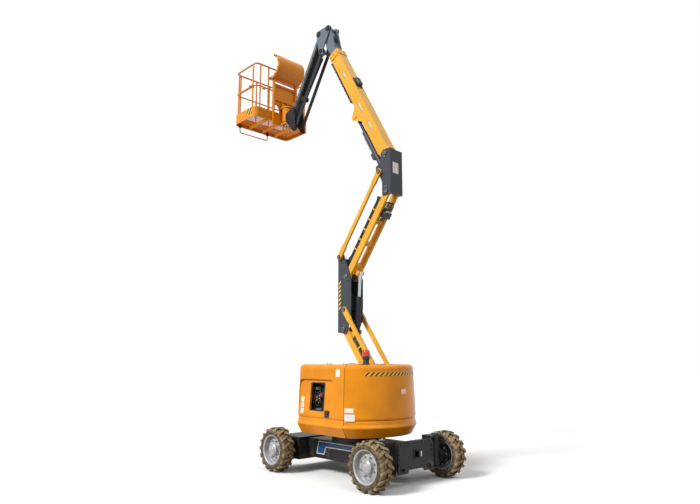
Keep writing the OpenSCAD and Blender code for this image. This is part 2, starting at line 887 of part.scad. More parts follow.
module boom_tube() {
    hw = boom_w / 2;
    zc = -boom_drop;
    iw = hw - boom_wall;
    ih = boom_h / 2 - boom_wall;
    to_left(boom_p, boom_deg) {
        difference() {
            union() {
                translate([110, -hw, zc - boom_h / 2])
                    cube([boom_l - 110, boom_w, boom_h]);
                translate([boom_l - 130, -hw - 12, zc - boom_h / 2 - 12])
                    cube([130, boom_w + 24, boom_h + 24]);
                slab(-hw, hw)
                    union() {
                        disc2([0, 0], 86);
                        polygon([[-40, -76], [130, zc - boom_h / 2], [420, zc - boom_h / 2],
                            [420, zc + boom_h / 2], [130, zc + boom_h / 2], [0, 86]]);
                    }
                two_bars([0, 0], 60, hw, arm_hw + 2);
            }
            translate([240, -iw, zc - ih])
                cube([boom_l - 240 - 90, 2 * iw, 2 * ih]);
            translate([boom_l - 100, -ext_w / 2 - fit, zc - ext_h / 2 - fit])
                cube([200, ext_w + 2 * fit, ext_h + 2 * fit]);
            translate([-200, -hw + 24, -200])
                cube([300, 2 * hw - 48, 400]);
            bar_y([0, 0], pin_r + fit, -200, 200);
            for (x = [[620, 820], [1060, 1330], [1950, 2150]])
                slab(-hw - 1, hw + 1)
                    rect2(x[0], zc - 28, x[1], zc + 22);
        }
        two_slabs(58, 76)
            difference() {
                union() {
                    polygon([[boom_cx - 230, zc - boom_h / 2], [boom_cx - 70, boom_cz - 20],
                        [boom_cx + 70, boom_cz - 20], [boom_cx + 190, zc - boom_h / 2]]);
                    disc2([boom_cx, boom_cz], 74);
                }
                disc2([boom_cx, boom_cz], 26);
            }
        two_bars([boom_cx, boom_cz], 26, 36, 88);
        two_bars([boom_cx, boom_cz], 42, 76, 88);
    }
}

module boom_slide() {
    hw = ext_w / 2;
    zc = -boom_drop;
    iw = boom_w / 2 - boom_wall - fit;
    ih = boom_h / 2 - boom_wall - fit;
    to_left(boom_p, boom_deg) {
        difference() {
            union() {
                translate([boom_l - 1250, -hw, zc - ext_h / 2])
                    cube([1510, ext_w, ext_h]);
                translate([boom_l - 1250, -iw, zc - ih])
                    cube([60, 2 * iw, 2 * ih]);
            }
            translate([boom_l - 1251, -hw + 10, zc - ext_h / 2 + 10])
                cube([1450, ext_w - 20, ext_h - 20]);
        }
        two_slabs(hw, hw + 18)
            difference() {
                union() {
                    polygon([[boom_l + 12, zc - 70], [boom_l + 12, zc + 70], [level_x - 60, level_z + 45],
                        [level_x, level_z + 62], [level_x + 60, level_z], [level_x - 30, level_z - 95],
                        [boom_l + 260, zc - 82]]);
                    disc2([level_x, level_z], 62);
                }
                disc2([level_x, level_z], jpin_r + fit);
            }
    }
}

module level_head() {
    l = level_p;
    j = jib_p;
    k = jib_p + jib_off;
    tie_off = [44, -62];
    two_slabs(108, 122)
        union() {
            polygon([[l[0] + 30, l[1] + 60], [j[0] - 10, j[1] + 66], [j[0] - 66, j[1] + 10],
                [k[0] - 62, k[1] + 20], [k[0] - 10, k[1] - 60], [k[0] + 62, k[1] + 10],
                [l[0] + 30, l[1] - 90]]);
            disc2(l, 62);
            disc2(j, 66);
            disc2(k, 62);
            disc2(k + tie_off, 28);
        }
    bar_y(l, jpin_r, -108, 108);
    two_bars(l, 50, ext_w / 2 + 22, 108);
    bar_y(j, jpin_r, -108, 108);
    two_bars(k, 22, 66, 108);
    two_bars(jcyl_k, 20, 40, 65);
    two_slabs(44, 66)
        polygon([[jcyl_k[0] - 40, jcyl_k[1] - 10], [jcyl_k[0] + 50, jcyl_k[1] - 122],
            [jcyl_k[0] + 92, jcyl_k[1] - 112], [jcyl_k[0] + 90, jcyl_k[1] - 80],
            [jcyl_k[0] + 30, jcyl_k[1] + 60]]);
    two_bars(k + tie_off, 14, 60, 108);
}

module jib_beam() {
    to_left(jib_p, -jib_deg) {
        difference() {
            union() {
                slab(-jib_hw, jib_hw)
                    rect2(0, -jib_h / 2, jib_l, jib_h / 2);
                bar_y([0, 0], 66, -100, 100);
                bar_y([jib_l, 0], 66, -100, 100);
            }
            bar_y([0, 0], jpin_r + fit, -200, 200);
            bar_y([jib_l, 0], jpin_r + fit, -200, 200);
        }
        two_slabs(jib_hw - 22, jib_hw)
            difference() {
                union() {
                    rect2(jcyl_s - 50, -jcyl_t, jcyl_s + 50, -jib_h / 2);
                    disc2([jcyl_s, -jcyl_t], 50);
                }
                disc2([jcyl_s, -jcyl_t], 20);
            }
        two_bars([jcyl_s, -jcyl_t], 20, 34.5, jib_hw + 6);
    }
}

module jib_links() {
    to_left(jib_p + jib_off, -jib_deg)
        two_slabs(71, 95)
            difference() {
                union() {
                    rect2(0, -38, jib_l, 38);
                    disc2([0, 0], 48);
                    disc2([jib_l, 0], 48);
                }
                disc2([0, 0], 22 + fit);
                disc2([jib_l, 0], 22 + fit);
            }
}

module jib_barrel() {
    from_to(jcyl_lug, jcyl_k)
        difference() {
            union() {
                translate([20, 0, 0])
                    rotate([0, 90, 0])
                        cylinder(d = jib_cyl_d, h = 820);
                bar_y([0, 0], 38, -34, 34);
                translate([800, 0, 0])
                    rotate([0, 90, 0])
                        cylinder(d = jib_cyl_d + 8, h = 40);
            }
            translate([50, 0, 0])
                rotate([0, 90, 0])
                    cylinder(d = jib_rod_d + 2 * fit, h = 900);
        }
}

module jib_rod() {
    from_to(jcyl_lug, jcyl_k)
        rod_form(jib_rod_d, 160, gap(jcyl_lug, jcyl_k), 34, 21, 34);
}

module jib_bracket() {
    j = jib_e;
    k = jib_e + jib_off;
    two_slabs(108, 122)
        union() {
            polygon([[j[0] + 30, j[1] + 62], [j[0] - 62, j[1] + 40], [rot_x + 95, floor_z + 40],
                [rot_x + 95, floor_z - 110], [k[0] - 80, k[1] + 20], [k[0] - 20, k[1] - 58],
                [k[0] + 58, k[1] + 10], [j[0] + 64, j[1] + 10]]);
            disc2(j, 66);
            disc2(k, 60);
        }
    bar_y(j, jpin_r, -108, 108);
    two_bars(k, 22, 66, 108);
    translate([rot_x + 95, -108, floor_z - 110])
        cube([60, 216, 150]);
    translate([rot_x, 0, floor_z - 110])
        cylinder(d = rotator_d, h = 320);
}

module platform_mount() {
    z0 = floor_z - 110;
    x = plat_x1 + 20;
    for (z = [z0 - 30.4, z0 + 320.4]) {
        translate([x, -110, z])
            cube([rot_x - x, 220, 30]);
        translate([rot_x, 0, z])
            cylinder(r = 110, h = 30);
    }
    for (s = [-1, 1])
        translate([x, s * 275 - 15, z0 - 30.4])
            cube([60, 30, 952.4]);
    translate([x, 0, 0])
        rotate([90, 0, 90])
            linear_extrude(14)
                difference() {
                    rect2(-262, floor_z - 140.4, 262, floor_z + 740);
                    disc2([-235, floor_z + 170], 125);
                    disc2([235, floor_z + 170], 125);
                }
    translate([x, -270, floor_z + 385])
        cube([44, 540, 80]);
    translate([x, -270, floor_z + 700])
        cube([44, 540, 40]);
    two_slabs(66, 80)
        polygon([[x + 10, floor_z + 238], [rot_x - 10, floor_z + 238], [x + 40, floor_z + 400],
            [x + 10, floor_z + 400]]);
}

// Plan of the platform, d inside its outer edge
module plan2(d) {
    round2(plat_x0 + d, -plat_hw + d, plat_x1 - d, plat_hw - d, rail_bend + tube_d / 2 + 1 - d);
}

module platform_floor() {
    cell_w = (plat_w - 270) / 4;
    slots = floor((plat_d - 130) / slot_pitch);
    translate([0, 0, floor_z - 60])
        linear_extrude(60 + toe_h)
            difference() {
                plan2(0);
                plan2(toe_t);
            }
    translate([0, 0, floor_z - 8])
        linear_extrude(8)
            difference() {
                plan2(toe_t / 2);
                for (j = [0 : 3], i = [0 : slots - 1])
                    translate([plat_x0 + 65 + i * slot_pitch, -plat_hw + 60 + j * (cell_w + 50)])
                        square([slot_w, cell_w]);
            }
    for (j = [0 : 2])
        translate([plat_x0 + 5, -plat_hw + 65 + cell_w + j * (cell_w + 50), floor_z - 56])
            cube([plat_d - 10, 40, 52]);
    translate([plat_x1 - 5, -270, floor_z - 50])
        cube([25, 540, 110]);
    x = plat_x0 + 22;
    z = floor_z - 60 - step_drop;
    for (s = [-1, 1])
        tube_z(x, s * 350 - 205, z + 45, floor_z - 50, step_d - 0.6);
    for (c = [[-510, 180], [100, 270]])
        translate([x, c[0], z + 47])
            rotate([90, 0, 90])
                rotate([0, 0, c[1]])
                    rotate_extrude(angle = 90)
                        translate([45, 0])
                            circle(d = step_d);
    tube_y(x, z + 2, -512, 102, step_d - 0.6);
    for (y = [-555, 145])
        translate([x - 16, y - 20, floor_z - 56])
            cube([32, 40, 52]);
}

// Upright and level tubes of the guard rails
module tube_x(y, z, x0, x1, d) {
    translate([x0, y, z])
        rotate([0, 90, 0])
            cylinder(d = d, h = x1 - x0);
}

module tube_y(x, z, y0, y1, d) {
    translate([x, y0, z])
        rotate([-90, 0, 0])
            cylinder(d = d, h = y1 - y0);
}

module tube_z(x, y, z0, z1, d) {
    translate([x, y, z0])
        cylinder(d = d, h = z1 - z0);
}

// Quarter bend of a rail in the level plane, c holds its centre and turn
module bend(c, z, d) {
    translate([c[0], c[1], z])
        rotate([0, 0, c[2]])
            rotate_extrude(angle = 90)
                translate([rail_bend, 0])
                    circle(d = d);
}

module platform_rails() {
    r = tube_d / 2;
    p = tube_d - 3;
    m = tube_d - 6;
    b = rail_bend;
    x0 = plat_x0 + r + 1;
    x1 = plat_x1 - r - 1;
    y1 = plat_hw - r - 1;
    xa = x0 + b + 15;
    xb = x1 - b - 15;
    zb = floor_z + toe_h;
    zt = floor_z + rail_top - r;
    zm = floor_z + rail_top * 0.55;
    for (x = [xa, xb], s = [-1, 1])
        tube_z(x, s * y1, zb, zt, p);
    for (s = [-1, 1]) {
        tube_z(x0, s * (y1 - b - 15), zb, zt, p);
        tube_z(x0, s * y1 / 4, zb, zt, p);
        tube_z(x1, s * (y1 - b - 15), zb, zt, p);
        tube_z(x1, s * 365, zb, zt, p);
    }
    for (c = [[x0 + b, y1 - b, 90], [x1 - b, y1 - b, 0], [x0 + b, b - y1, 180], [x1 - b, b - y1, 270]]) {
        bend(c, zt, tube_d);
        bend(c, zm, m);
    }
    for (x = [x0, x1]) {
        tube_y(x, zt, b - y1 - 2, y1 - b + 2, tube_d - 0.6);
        tube_y(x, zm, b - y1 - 2, y1 - b + 2, m - 0.6);
    }
    for (s = [-1, 1])
        tube_x(s * y1, zt, x0 + b - 2, x1 - b + 2, tube_d - 0.6);
    tube_x(y1, zm, x0 + b - 2, x1 - b + 2, m - 0.6);
    tube_x(-y1, zm, x0 + b - 2, xa, m - 0.6);
    tube_x(-y1, zm, xb, x1 - b + 2, m - 0.6);
    for (s = [-1, 1])
        translate([xb - 75, -y1 - 4 + s * 28, zm - 20])
            cube([75, 8, 40]);
    translate([xb - 6, -y1 - 32, zm - 20])
        cube([12, 64, 40]);
    bar_y([xb - 55, zm], 8, -y1 - 30, -y1 + 30);
    translate([xa, -y1 - 12, zm - tube_d / 2 - 17])
        cube([70, 24, 11.6]);
    for (s = [-1, 1])
        difference() {
            translate([x1 - 80, s * 440 - 30, zm - 8])
                cube([80, 60, 16]);
            translate([x1 - 52, s * 440, zm - 30])
                cylinder(d = anchor_d, h = 60);
        }
}

// Section of the half-round console guard, open towards the platform
module guard2(c, r0, r1) {
    difference() {
        disc2(c, r1);
        disc2(c, r0);
        translate(c)
            rotate(-guard_tilt)
                rect2(-400, -400, 0, 400);
    }
}

module control_console() {
    c = [plat_x1 + 25, floor_z + 1095];
    difference() {
        slab(-guard_w / 2, guard_w / 2)
            guard2(c, guard_r - 48, guard_r);
        bar_y(c, guard_r - 12, -guard_w / 2 + 20, guard_w / 2 - 20);
    }
    two_slabs(262, 288)
        rect2(plat_x1 + 22, floor_z + 812, plat_x1 + 78, floor_z + 835);
    slab(-190, 230)
        polygon([[plat_x1 + 24, floor_z + 834], [plat_x1 + 118, floor_z + 846],
            [plat_x1 + 160, floor_z + 1000], [plat_x1 + 150, floor_z + 1160],
            [plat_x1 + 24, floor_z + 1100]]);
}

module entry_bar() {
    r = tube_d / 2;
    y1 = plat_hw - r - 1;
    zm = floor_z + rail_top * 0.55;
    xa = plat_x0 + r + 1 + rail_bend + 15;
    xb = plat_x1 - r - 1 - rail_bend - 15;
    difference() {
        tube_x(-y1, zm, xa + r + 8, xb - 37, tube_d + 10);
        bar_y([xb - 55, zm], 8 + fit, -y1 - 40, -y1 + 40);
    }
}

module in_frame() {
    translate([slew_x, 0, 0]) children();
}

yellow = "#e8a81c";
dark = "#3c4249";
black = "#1c1c1e";
silver = "#b9bcc0";

in_frame() color(black) chassis_frame();
in_frame() color(black) front_axle();
in_frame() color(black) rear_axle();
in_frame() color(dark) slewing_ring();
in_frame() color(black) steering_cylinder();
in_frame() color(silver) steering_rod();
in_frame() color(black) knuckle(1);  // knuckle_left
in_frame() color(black) knuckle(-1);  // knuckle_right
in_frame() color("#8d8172") at_wheel(wb, 1) tyre_form(1);  // tyre_front_left
in_frame() color("#8d8172") at_wheel(wb, -1) tyre_form(-1);  // tyre_front_right
in_frame() color("#8d8172") at_wheel(-wb, 1) tyre_form(1);  // tyre_rear_left
in_frame() color("#8d8172") at_wheel(-wb, -1) tyre_form(-1);  // tyre_rear_right
in_frame() color(silver) at_wheel(wb, 1) rim_form();  // rim_front_left
in_frame() color(silver) at_wheel(wb, -1) rim_form();  // rim_front_right
in_frame() color(silver) at_wheel(-wb, 1) rim_form();  // rim_rear_left
in_frame() color(silver) at_wheel(-wb, -1) rim_form();  // rim_rear_right
in_frame() color(dark) turntable_frame();
in_frame() color(yellow) counterweight();
in_frame() color(yellow) hood_left();
in_frame() color(yellow) hood_right();
in_frame() color(dark) engine();
in_frame() color(black) oil_tank();
in_frame() color(dark) control_box();
in_frame() color("#e0512a") beacon();
in_frame() color(yellow) lower_arm();
in_frame() color(yellow) lower_links();
in_frame() color(dark) mast();
in_frame() color(yellow) upper_arm();
in_frame() color(yellow) upper_links();
in_frame() color(black) riser_barrel();
in_frame() color(silver) riser_rod();
in_frame() color(dark) upright();
in_frame() color(yellow) boom_tube();
in_frame() color("#5a6068") boom_barrel();
in_frame() color(black) boom_rod();
in_frame() color("#5b6a75") boom_slide();
in_frame() color("#5b6a75") level_head();
in_frame() color(black) jib_beam();
in_frame() color(black) jib_links();
in_frame() color(black) jib_barrel();
in_frame() color(silver) jib_rod();
in_frame() color(black) jib_bracket();
in_frame() color(yellow) platform_mount();
in_frame() color(yellow) platform_floor();
in_frame() color(yellow) platform_rails();
in_frame() color(yellow) control_console();
in_frame() color(yellow) entry_bar();
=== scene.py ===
"""Looks of an articulating boom lift: paint, hardware, hoses, markings and a plain studio."""

import json
import math

import bmesh
import bpy
from mathutils import Matrix, Vector


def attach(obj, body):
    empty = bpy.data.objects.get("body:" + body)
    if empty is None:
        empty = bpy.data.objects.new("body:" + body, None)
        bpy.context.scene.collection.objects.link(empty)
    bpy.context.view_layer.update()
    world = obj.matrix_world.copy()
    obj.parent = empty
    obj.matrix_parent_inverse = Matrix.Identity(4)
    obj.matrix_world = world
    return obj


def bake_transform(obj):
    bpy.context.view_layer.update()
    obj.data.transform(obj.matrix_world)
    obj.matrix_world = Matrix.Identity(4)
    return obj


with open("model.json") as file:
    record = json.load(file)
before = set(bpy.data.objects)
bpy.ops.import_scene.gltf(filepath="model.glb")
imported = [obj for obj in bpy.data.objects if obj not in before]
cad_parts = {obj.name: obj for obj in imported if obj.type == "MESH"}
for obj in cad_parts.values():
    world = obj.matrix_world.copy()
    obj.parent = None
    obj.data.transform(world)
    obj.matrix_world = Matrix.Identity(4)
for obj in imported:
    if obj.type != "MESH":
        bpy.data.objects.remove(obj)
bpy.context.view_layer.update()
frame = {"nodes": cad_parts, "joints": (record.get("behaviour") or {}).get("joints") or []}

bl_info = {
    "name": "Articulating boom lift",
    "version": (1, 0, 0),
    "blender": (4, 5, 0),
    "location": "3D View > Sidebar > Boom lift",
    "description": "Paints and dresses an articulating boom lift and sets up its studio",
    "category": "Object",
}

MM = 0.001
X, Y, Z = Vector((1, 0, 0)), Vector((0, 1, 0)), Vector((0, 0, 1))
PIVOT = {j["name"]: Vector(j["pos_m"]) for j in frame["joints"] if "pos_m" in j}
SLIDE = {j["name"]: Vector(j["axis"]) for j in frame["joints"] if "pos_m" not in j}
WHEELS = ("front_left", "front_right", "rear_left", "rear_right")
SIDES = (-1, 1)
SHARP_EDGE = math.radians(35)
HEXAGON = math.sqrt(3)  # spanner size of a hexagon over its corner radius

# Finishes by plain key, filled in by make_materials
MATERIAL = {}


def rgb(hex_colour):
    """Linear red, green and blue of an sRGB hex colour."""
    parts = [int(hex_colour[i : i + 2], 16) / 255 for i in (1, 3, 5)]
    return [c / 12.92 if c <= 0.04045 else ((c + 0.055) / 1.055) ** 2.4 for c in parts]


def rgba(colour):
    """The colour with full cover, for a node socket."""
    return (*colour, 1.0)


# Frames and shapes


class Member:
    """Places along an arm: s from its start, n towards its upper side, y across the machine."""

    def __init__(self, start, along):
        self.start = start
        self.along = along.normalized()
        self.up = Vector((-self.along.z, 0, self.along.x))
        if self.up.z < 0:
            self.up.negate()

    def at(self, s, n, y):
        """Point in metres from millimetres along, above and across."""
        return self.start + (self.along * s + self.up * n + Y * y) * MM


def between(start, end):
    """The member from one joint's pivot to another's."""
    return Member(PIVOT[start], PIVOT[end] - PIVOT[start])


def smooth_path(points, steps):
    """Points of a soft curve through the given points."""
    ends = [2 * points[0] - points[1], *points, 2 * points[-1] - points[-2]]
    path = []
    for a, b, c, d in zip(ends, ends[1:], ends[2:], ends[3:]):
        for i in range(steps):
            t = i / steps
            path.append(0.5 * (2 * b + (c - a) * t + (2 * a - 5 * b + 4 * c - d) * t**2
                               + (3 * b - a - 3 * c + d) * t**3))
    return path + [points[-1]]


class Shape:
    """Gathers the faces of one piece in the row frame."""

    def __init__(self):
        self.mesh = bmesh.new()

    def skin(self, rings, closed_ring=True):
        """Joins rings of points into a skin; a ring of one point is a tip."""
        made = [[self.mesh.verts.new(p) for p in ring] for ring in rings]
        for low, high in zip(made, made[1:]):
            count = max(len(low), len(high))
            last = count if closed_ring else count - 1
            for i in range(last):
                k = (i + 1) % count
                corners = [low[i % len(low)], low[k % len(low)], high[k % len(high)], high[i % len(high)]]
                corners = list(dict.fromkeys(corners))
                if len(corners) > 2:
                    self.mesh.faces.new(corners)

    def turned(self, at, axis, outline, sides=20):
        """A turned form: outline holds radius and height pairs in millimetres along the axis."""
        turn = axis.normalized().to_track_quat("Z", "Y").to_matrix()
        rings = []
        for radius, height in outline:
            count = sides if radius > 0 else 1
            angles = [math.tau * i / sides for i in range(count)]
            rings.append([at + turn @ Vector((radius * math.cos(a), radius * math.sin(a), height)) * MM
                          for a in angles])
        self.skin(rings)

    def block(self, at, along, up, size, edge=2.0):
        """A block with broken edges; size runs along, across and up, in millimetres."""
        side = up.cross(along).normalized()
        basis = Matrix((along.normalized(), side, up.normalized())).transposed().to_4x4()
        basis.translation = at
        made = bmesh.ops.create_cube(self.mesh, size=1.0)
        scale = Matrix.Diagonal((*(Vector(size) * MM), 1.0))
        bmesh.ops.transform(self.mesh, matrix=basis @ scale, verts=made["verts"])
        edges = list({e for v in made["verts"] for e in v.link_edges})
        bmesh.ops.bevel(self.mesh, geom=edges, offset=edge * MM, segments=2, affect="EDGES", profile=0.5)

    def block_on(self, member, place, size, edge):
        """A block square to a member, at its s, n and y."""
        self.block(member.at(*place), member.along, member.up, size, edge)

    def tube(self, points, radius, sides=10, steps=6):
        """A round bar of one radius in millimetres along a soft curve, or straight where steps is 0."""
        path = smooth_path(points, steps) if steps else points
        side = (path[1] - path[0]).orthogonal().normalized()
        angles = [math.tau * k / sides for k in range(sides)]
        rings = [[path[0]]]
        for i, p in enumerate(path):
            ahead = (path[min(i + 1, len(path) - 1)] - path[max(i - 1, 0)]).normalized()
            side = (side - ahead * side.dot(ahead)).normalized()
            other = ahead.cross(side)
            rings.append([p + (side * math.cos(a) + other * math.sin(a)) * radius * MM for a in angles])
        rings.append([path[-1]])
        self.skin(rings)

    def plate(self, outline, thick):
        """A flat plate from an outline of points and a thickness vector in metres."""
        low = self.mesh.faces.new([self.mesh.verts.new(p) for p in reversed(outline)])
        high = self.mesh.faces.new([self.mesh.verts.new(p + thick) for p in outline])
        count = len(outline)
        bottom, top = list(reversed(low.verts)), list(high.verts)
        for i in range(count):
            k = (i + 1) % count
            self.mesh.faces.new([bottom[i], bottom[k], top[k], top[i]])

    def bolt(self, at, axis, across=24, washer=True):
        """A hexagon bolt head on its washer; across is the spanner size in millimetres."""
        seat = 4 if washer else 0
        if washer:
            rim = across * 0.95
            self.turned(at, axis, [(rim, -1), (rim, seat - 1), (across * 0.88, seat), (0, seat)], 16)
        corner, top = across / HEXAGON, across * 0.62
        self.turned(at + axis.normalized() * seat * MM, axis,
                    [(corner, -2), (corner, across * 0.5), (corner * 0.86, top), (corner * 0.4, top),
                     (0, across * 0.6)], 6)

    def pin_head(self, at, axis, radius):
        """End of a pivot pin: chamfered cap with a raised rim and a grease nipple."""
        floor, rim, nipple = 9, 13, 22
        cap = [(radius, -2), (radius, floor), (radius - 4, rim), (radius * 0.72, rim),
               (radius * 0.68, floor)]
        grease = [(radius * 0.2, floor), (radius * 0.17, 17), (radius * 0.1, nipple), (0, nipple)]
        self.turned(at, axis, cap + grease, 28)

    def piece(self, name, body, coat):
        """Makes the object in a finish by its key; it rides on a body where one is given."""
        bmesh.ops.recalc_face_normals(self.mesh, faces=self.mesh.faces)
        data = bpy.data.meshes.new(name)
        self.mesh.to_mesh(data)
        self.mesh.free()
        data.polygons.foreach_set("use_smooth", [True] * len(data.polygons))
        data.set_sharp_from_angle(angle=SHARP_EDGE)
        data.materials.append(MATERIAL[coat])
        made = bpy.data.objects.new(name, data)
        bpy.context.scene.collection.objects.link(made)
        if body:
            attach(made, body)
        return made


def shapes(count):
    """Empty shapes to gather pieces in."""
    return [Shape() for _ in range(count)]


# Properties


def colour_property(name, about, hex_colour):
    """A colour that a user may change."""
    return bpy.props.FloatVectorProperty(name=name, description=about, default=rgb(hex_colour),
                                         subtype="COLOR", size=3, min=0, max=1)


def size_property(name, about, default):
    """A size in metres that a user may change."""
    return bpy.props.FloatProperty(name=name, description=about, default=default, min=0.0, unit="LENGTH")


def strength_property(name, about, default):
    """The strength of a light that a user may change."""
    return bpy.props.FloatProperty(name=name, description=about, default=default, min=0.0)


class LiftColours(bpy.types.PropertyGroup):
    """Colours of the paints, plastics and markings."""

    yellow: colour_property("Body yellow", "Gloss enamel of covers and platform", "#E9930A")
    # Painted light: the boom yellow is the body yellow made lighter for the brighter light that falls on
    # the boom and arms
    boom_yellow: colour_property("Boom yellow", "Gloss enamel of boom and arms", "#EDB23A")
    grey: colour_property("Structure grey", "Satin paint of the uprights", "#3B4149")
    blue_grey: colour_property("Head grey", "Satin paint of the boom head and jib cover", "#66737F")
    black: colour_property("Chassis black", "Satin paint of chassis and jib", "#1D1E20")
    silver: colour_property("Rim silver", "Silver paint of the rims", "#B7B9BB")
    rubber: colour_property("Tyre rubber", "Bare tyre rubber", "#38342F")
    dust: colour_property("Dust", "Dry dust on tyres and chassis", "#9A8869")
    stripe: colour_property("Side stripe", "Vinyl stripe of the chassis", "#2A4F86")
    label: colour_property("Blank label", "Bare vinyl labels", "#EDEDE9")
    lens: colour_property("Beacon lens", "Moulded lens of the beacon", "#D8481C")
    stop: colour_property("Stop button", "Moulded stop button", "#C3211B")
    passivated: colour_property("Passivated zinc", "Plated pipe on the jib", "#A08348")


class LiftSizes(bpy.types.PropertyGroup):
    """Sizes of the hardware."""

    hose: size_property("Hose", "Outer diameter of a hydraulic hose", 0.019)
    wheel_nut: size_property("Wheel nut", "Spanner size of a wheel nut", 0.027)
    frame_bolt: size_property("Frame bolt", "Spanner size of a frame bolt", 0.024)
    small_bolt: size_property("Small bolt", "Spanner size of a cover bolt", 0.013)
    hazard_pitch: size_property("Hazard pitch", "Length of one yellow and one black bar", 0.08)
    hazard_height: size_property("Hazard height", "Height of the hazard strip", 0.056)


class LiftStudio(bpy.types.PropertyGroup):
    """Camera, lamps and floor."""

    floor: colour_property("Floor", "Pale studio floor", "#FAFAF9")
    bounce: colour_property("Bounce", "Dim warm light that a dry yard throws up", "#98806A")
    sky_tone: colour_property("Sky tone", "Colour of the soft light all round", "#F0F0F0")
    key: strength_property("Key", "Strength of the key lamp", 3.1)
    fill: strength_property("Fill", "Strength of the fill lamp", 0.55)
    sky: strength_property("Sky", "Strength of the soft light all round", 0.5)
    camera_at: bpy.props.FloatVectorProperty(name="Camera", description="Place of the camera",
                                             subtype="TRANSLATION", default=(7.960, -6.952, 1.85))
    camera_turn: bpy.props.FloatProperty(name="Turn", description="Turn of the camera", subtype="ANGLE",
                                         default=math.radians(46.63))
    camera_tilt: bpy.props.FloatProperty(name="Tilt", description="Upward tilt of the camera",
                                         subtype="ANGLE", default=math.radians(10.108))
    lens: bpy.props.FloatProperty(name="Lens", description="Focal length in millimetres",
                                  default=30.32, min=1, unit="CAMERA")


# Materials


def add_node(tree, kind, links=(), **settings):
    """Adds a node with its settings and links; a setting is an attribute or an input."""
    made = tree.nodes.new(kind)
    for name, value in settings.items():
        if name in made.bl_rna.properties:
            setattr(made, name, value)
        else:
            made.inputs[name].default_value = value
    for name, socket in links:
        tree.links.new(made.inputs[name], socket)
    return made


def start_material(name, **sockets):
    """A new material and its shader with plain values on its own sockets."""
    made = bpy.data.materials.new(name)
    made.use_nodes = True
    shader = made.node_tree.nodes["Principled BSDF"]
    for socket, value in sockets.items():
        shader.inputs[socket.replace("_", " ")].default_value = value
    return made, made.node_tree, shader


def mottle(tree, shader, grain_mm, detail, span, tones, other=None, operation="ADD"):
    """Base colour that drifts between two tones in patches of a real size; other is laid over them."""
    place = add_node(tree, "ShaderNodeTexCoord")
    noise = add_node(tree, "ShaderNodeTexNoise", [("Vector", place.outputs["Object"])],
                     Scale=1 / (grain_mm * MM), Detail=detail)
    pattern = noise.outputs["Fac"]
    if other:
        both = add_node(tree, "ShaderNodeMath", [(0, pattern), (1, other)], operation=operation)
        pattern = both.outputs["Value"]
    ramp = add_node(tree, "ShaderNodeValToRGB", [("Fac", pattern)])
    for stop, position, tone in zip(ramp.color_ramp.elements, span, tones):
        stop.position = position
        stop.color = rgba(tone)
    tree.links.new(shader.inputs["Base Color"], ramp.outputs["Color"])


def rough_skin(tree, shader, grain_mm, detail, depth_mm, strength):
    """Fine relief whose grains and depth have a real size."""
    place = add_node(tree, "ShaderNodeTexCoord")
    noise = add_node(tree, "ShaderNodeTexNoise", [("Vector", place.outputs["Object"])],
                     Scale=1 / (grain_mm * MM), Detail=detail)
    bump = add_node(tree, "ShaderNodeBump", [("Height", noise.outputs["Fac"])], Distance=depth_mm * MM,
                    Strength=strength)
    tree.links.new(shader.inputs["Normal"], bump.outputs["Normal"])


def shade(colour, factor):
    """The same colour, darker or lighter."""
    return [min(1.0, c * factor) for c in colour]


def finish(name, grain_mm, detail, span, tones, skin=None, **sockets):
    """A material from its shader values, patches of two tones and, where it has one, a rough skin."""
    made, tree, shader = start_material(name, **sockets)
    mottle(tree, shader, grain_mm, detail, span, tones)
    if skin:
        rough_skin(tree, shader, **skin)
    return made


def sprayed_enamel(name, colour, roughness, dirt=0.82):
    """Sprayed enamel on sheet steel: a clear gloss over faint orange peel and a film of dirt."""
    return finish(name, grain_mm=420, detail=4.0, span=(0.36, 0.62), tones=(shade(colour, dirt), colour),
                  skin=dict(grain_mm=9, detail=1.0, depth_mm=0.25, strength=0.35),
                  Roughness=roughness, Specular_IOR_Level=0.25, Coat_Weight=0.1, Coat_Roughness=0.12)


def satin_paint(name, colour, dust, span):
    """Satin paint on welded plate: soft light, fine grit, and dry dust that thins out with height."""
    made, tree, shader = start_material(name, Roughness=0.46, Specular_IOR_Level=0.3)
    place = add_node(tree, "ShaderNodeTexCoord")
    axes = add_node(tree, "ShaderNodeSeparateXYZ", [("Vector", place.outputs["Object"])])
    thinning = {"From Min": 0.15, "From Max": 0.9, "To Min": 0.10, "To Max": -0.12}
    height = add_node(tree, "ShaderNodeMapRange", [("Value", axes.outputs["Z"])], **thinning)
    mottle(tree, shader, grain_mm=160, detail=5.0, span=span, tones=(colour, dust),
           other=height.outputs["Result"])
    rough_skin(tree, shader, grain_mm=14, detail=2.0, depth_mm=0.3, strength=0.4)
    return made


def dusty_tyre_with_painted_groove_shade(colours):
    """Moulded tyre rubber after work on dry ground: matt, tan dust on the lugs, and painted shade that
    darkens the grooves by ambient occlusion.
    """
    made, tree, shader = start_material("moulded tyre rubber with dust and painted groove shade", Roughness=0.88,
                                        Specular_IOR_Level=0.25)
    # Painted shade: ambient occlusion pulls the grooves towards the dark rubber tone, while the open lugs
    # take the dust
    painted_groove_shade = add_node(tree, "ShaderNodeAmbientOcclusion", samples=8, Distance=0.09)
    mottle(tree, shader, grain_mm=90, detail=5.0, span=(0.16, 0.5), tones=(colours.rubber, colours.dust),
           other=painted_groove_shade.outputs["AO"], operation="MULTIPLY")
    rough_skin(tree, shader, grain_mm=9, detail=3.0, depth_mm=0.8, strength=0.4)
    return made


def bare_sidewall(colours):
    """Sidewall rubber rubbed clean: dark brown, half matt, with a thin tan bloom."""
    return finish("rubbed sidewall rubber", grain_mm=45, detail=5.0, span=(0.40, 0.80),
                  tones=(rgb("#3E332A"), shade(colours.dust, 0.8)),
                  skin=dict(grain_mm=9, detail=3.0, depth_mm=0.6, strength=0.4),
                  Roughness=0.7, Specular_IOR_Level=0.3)


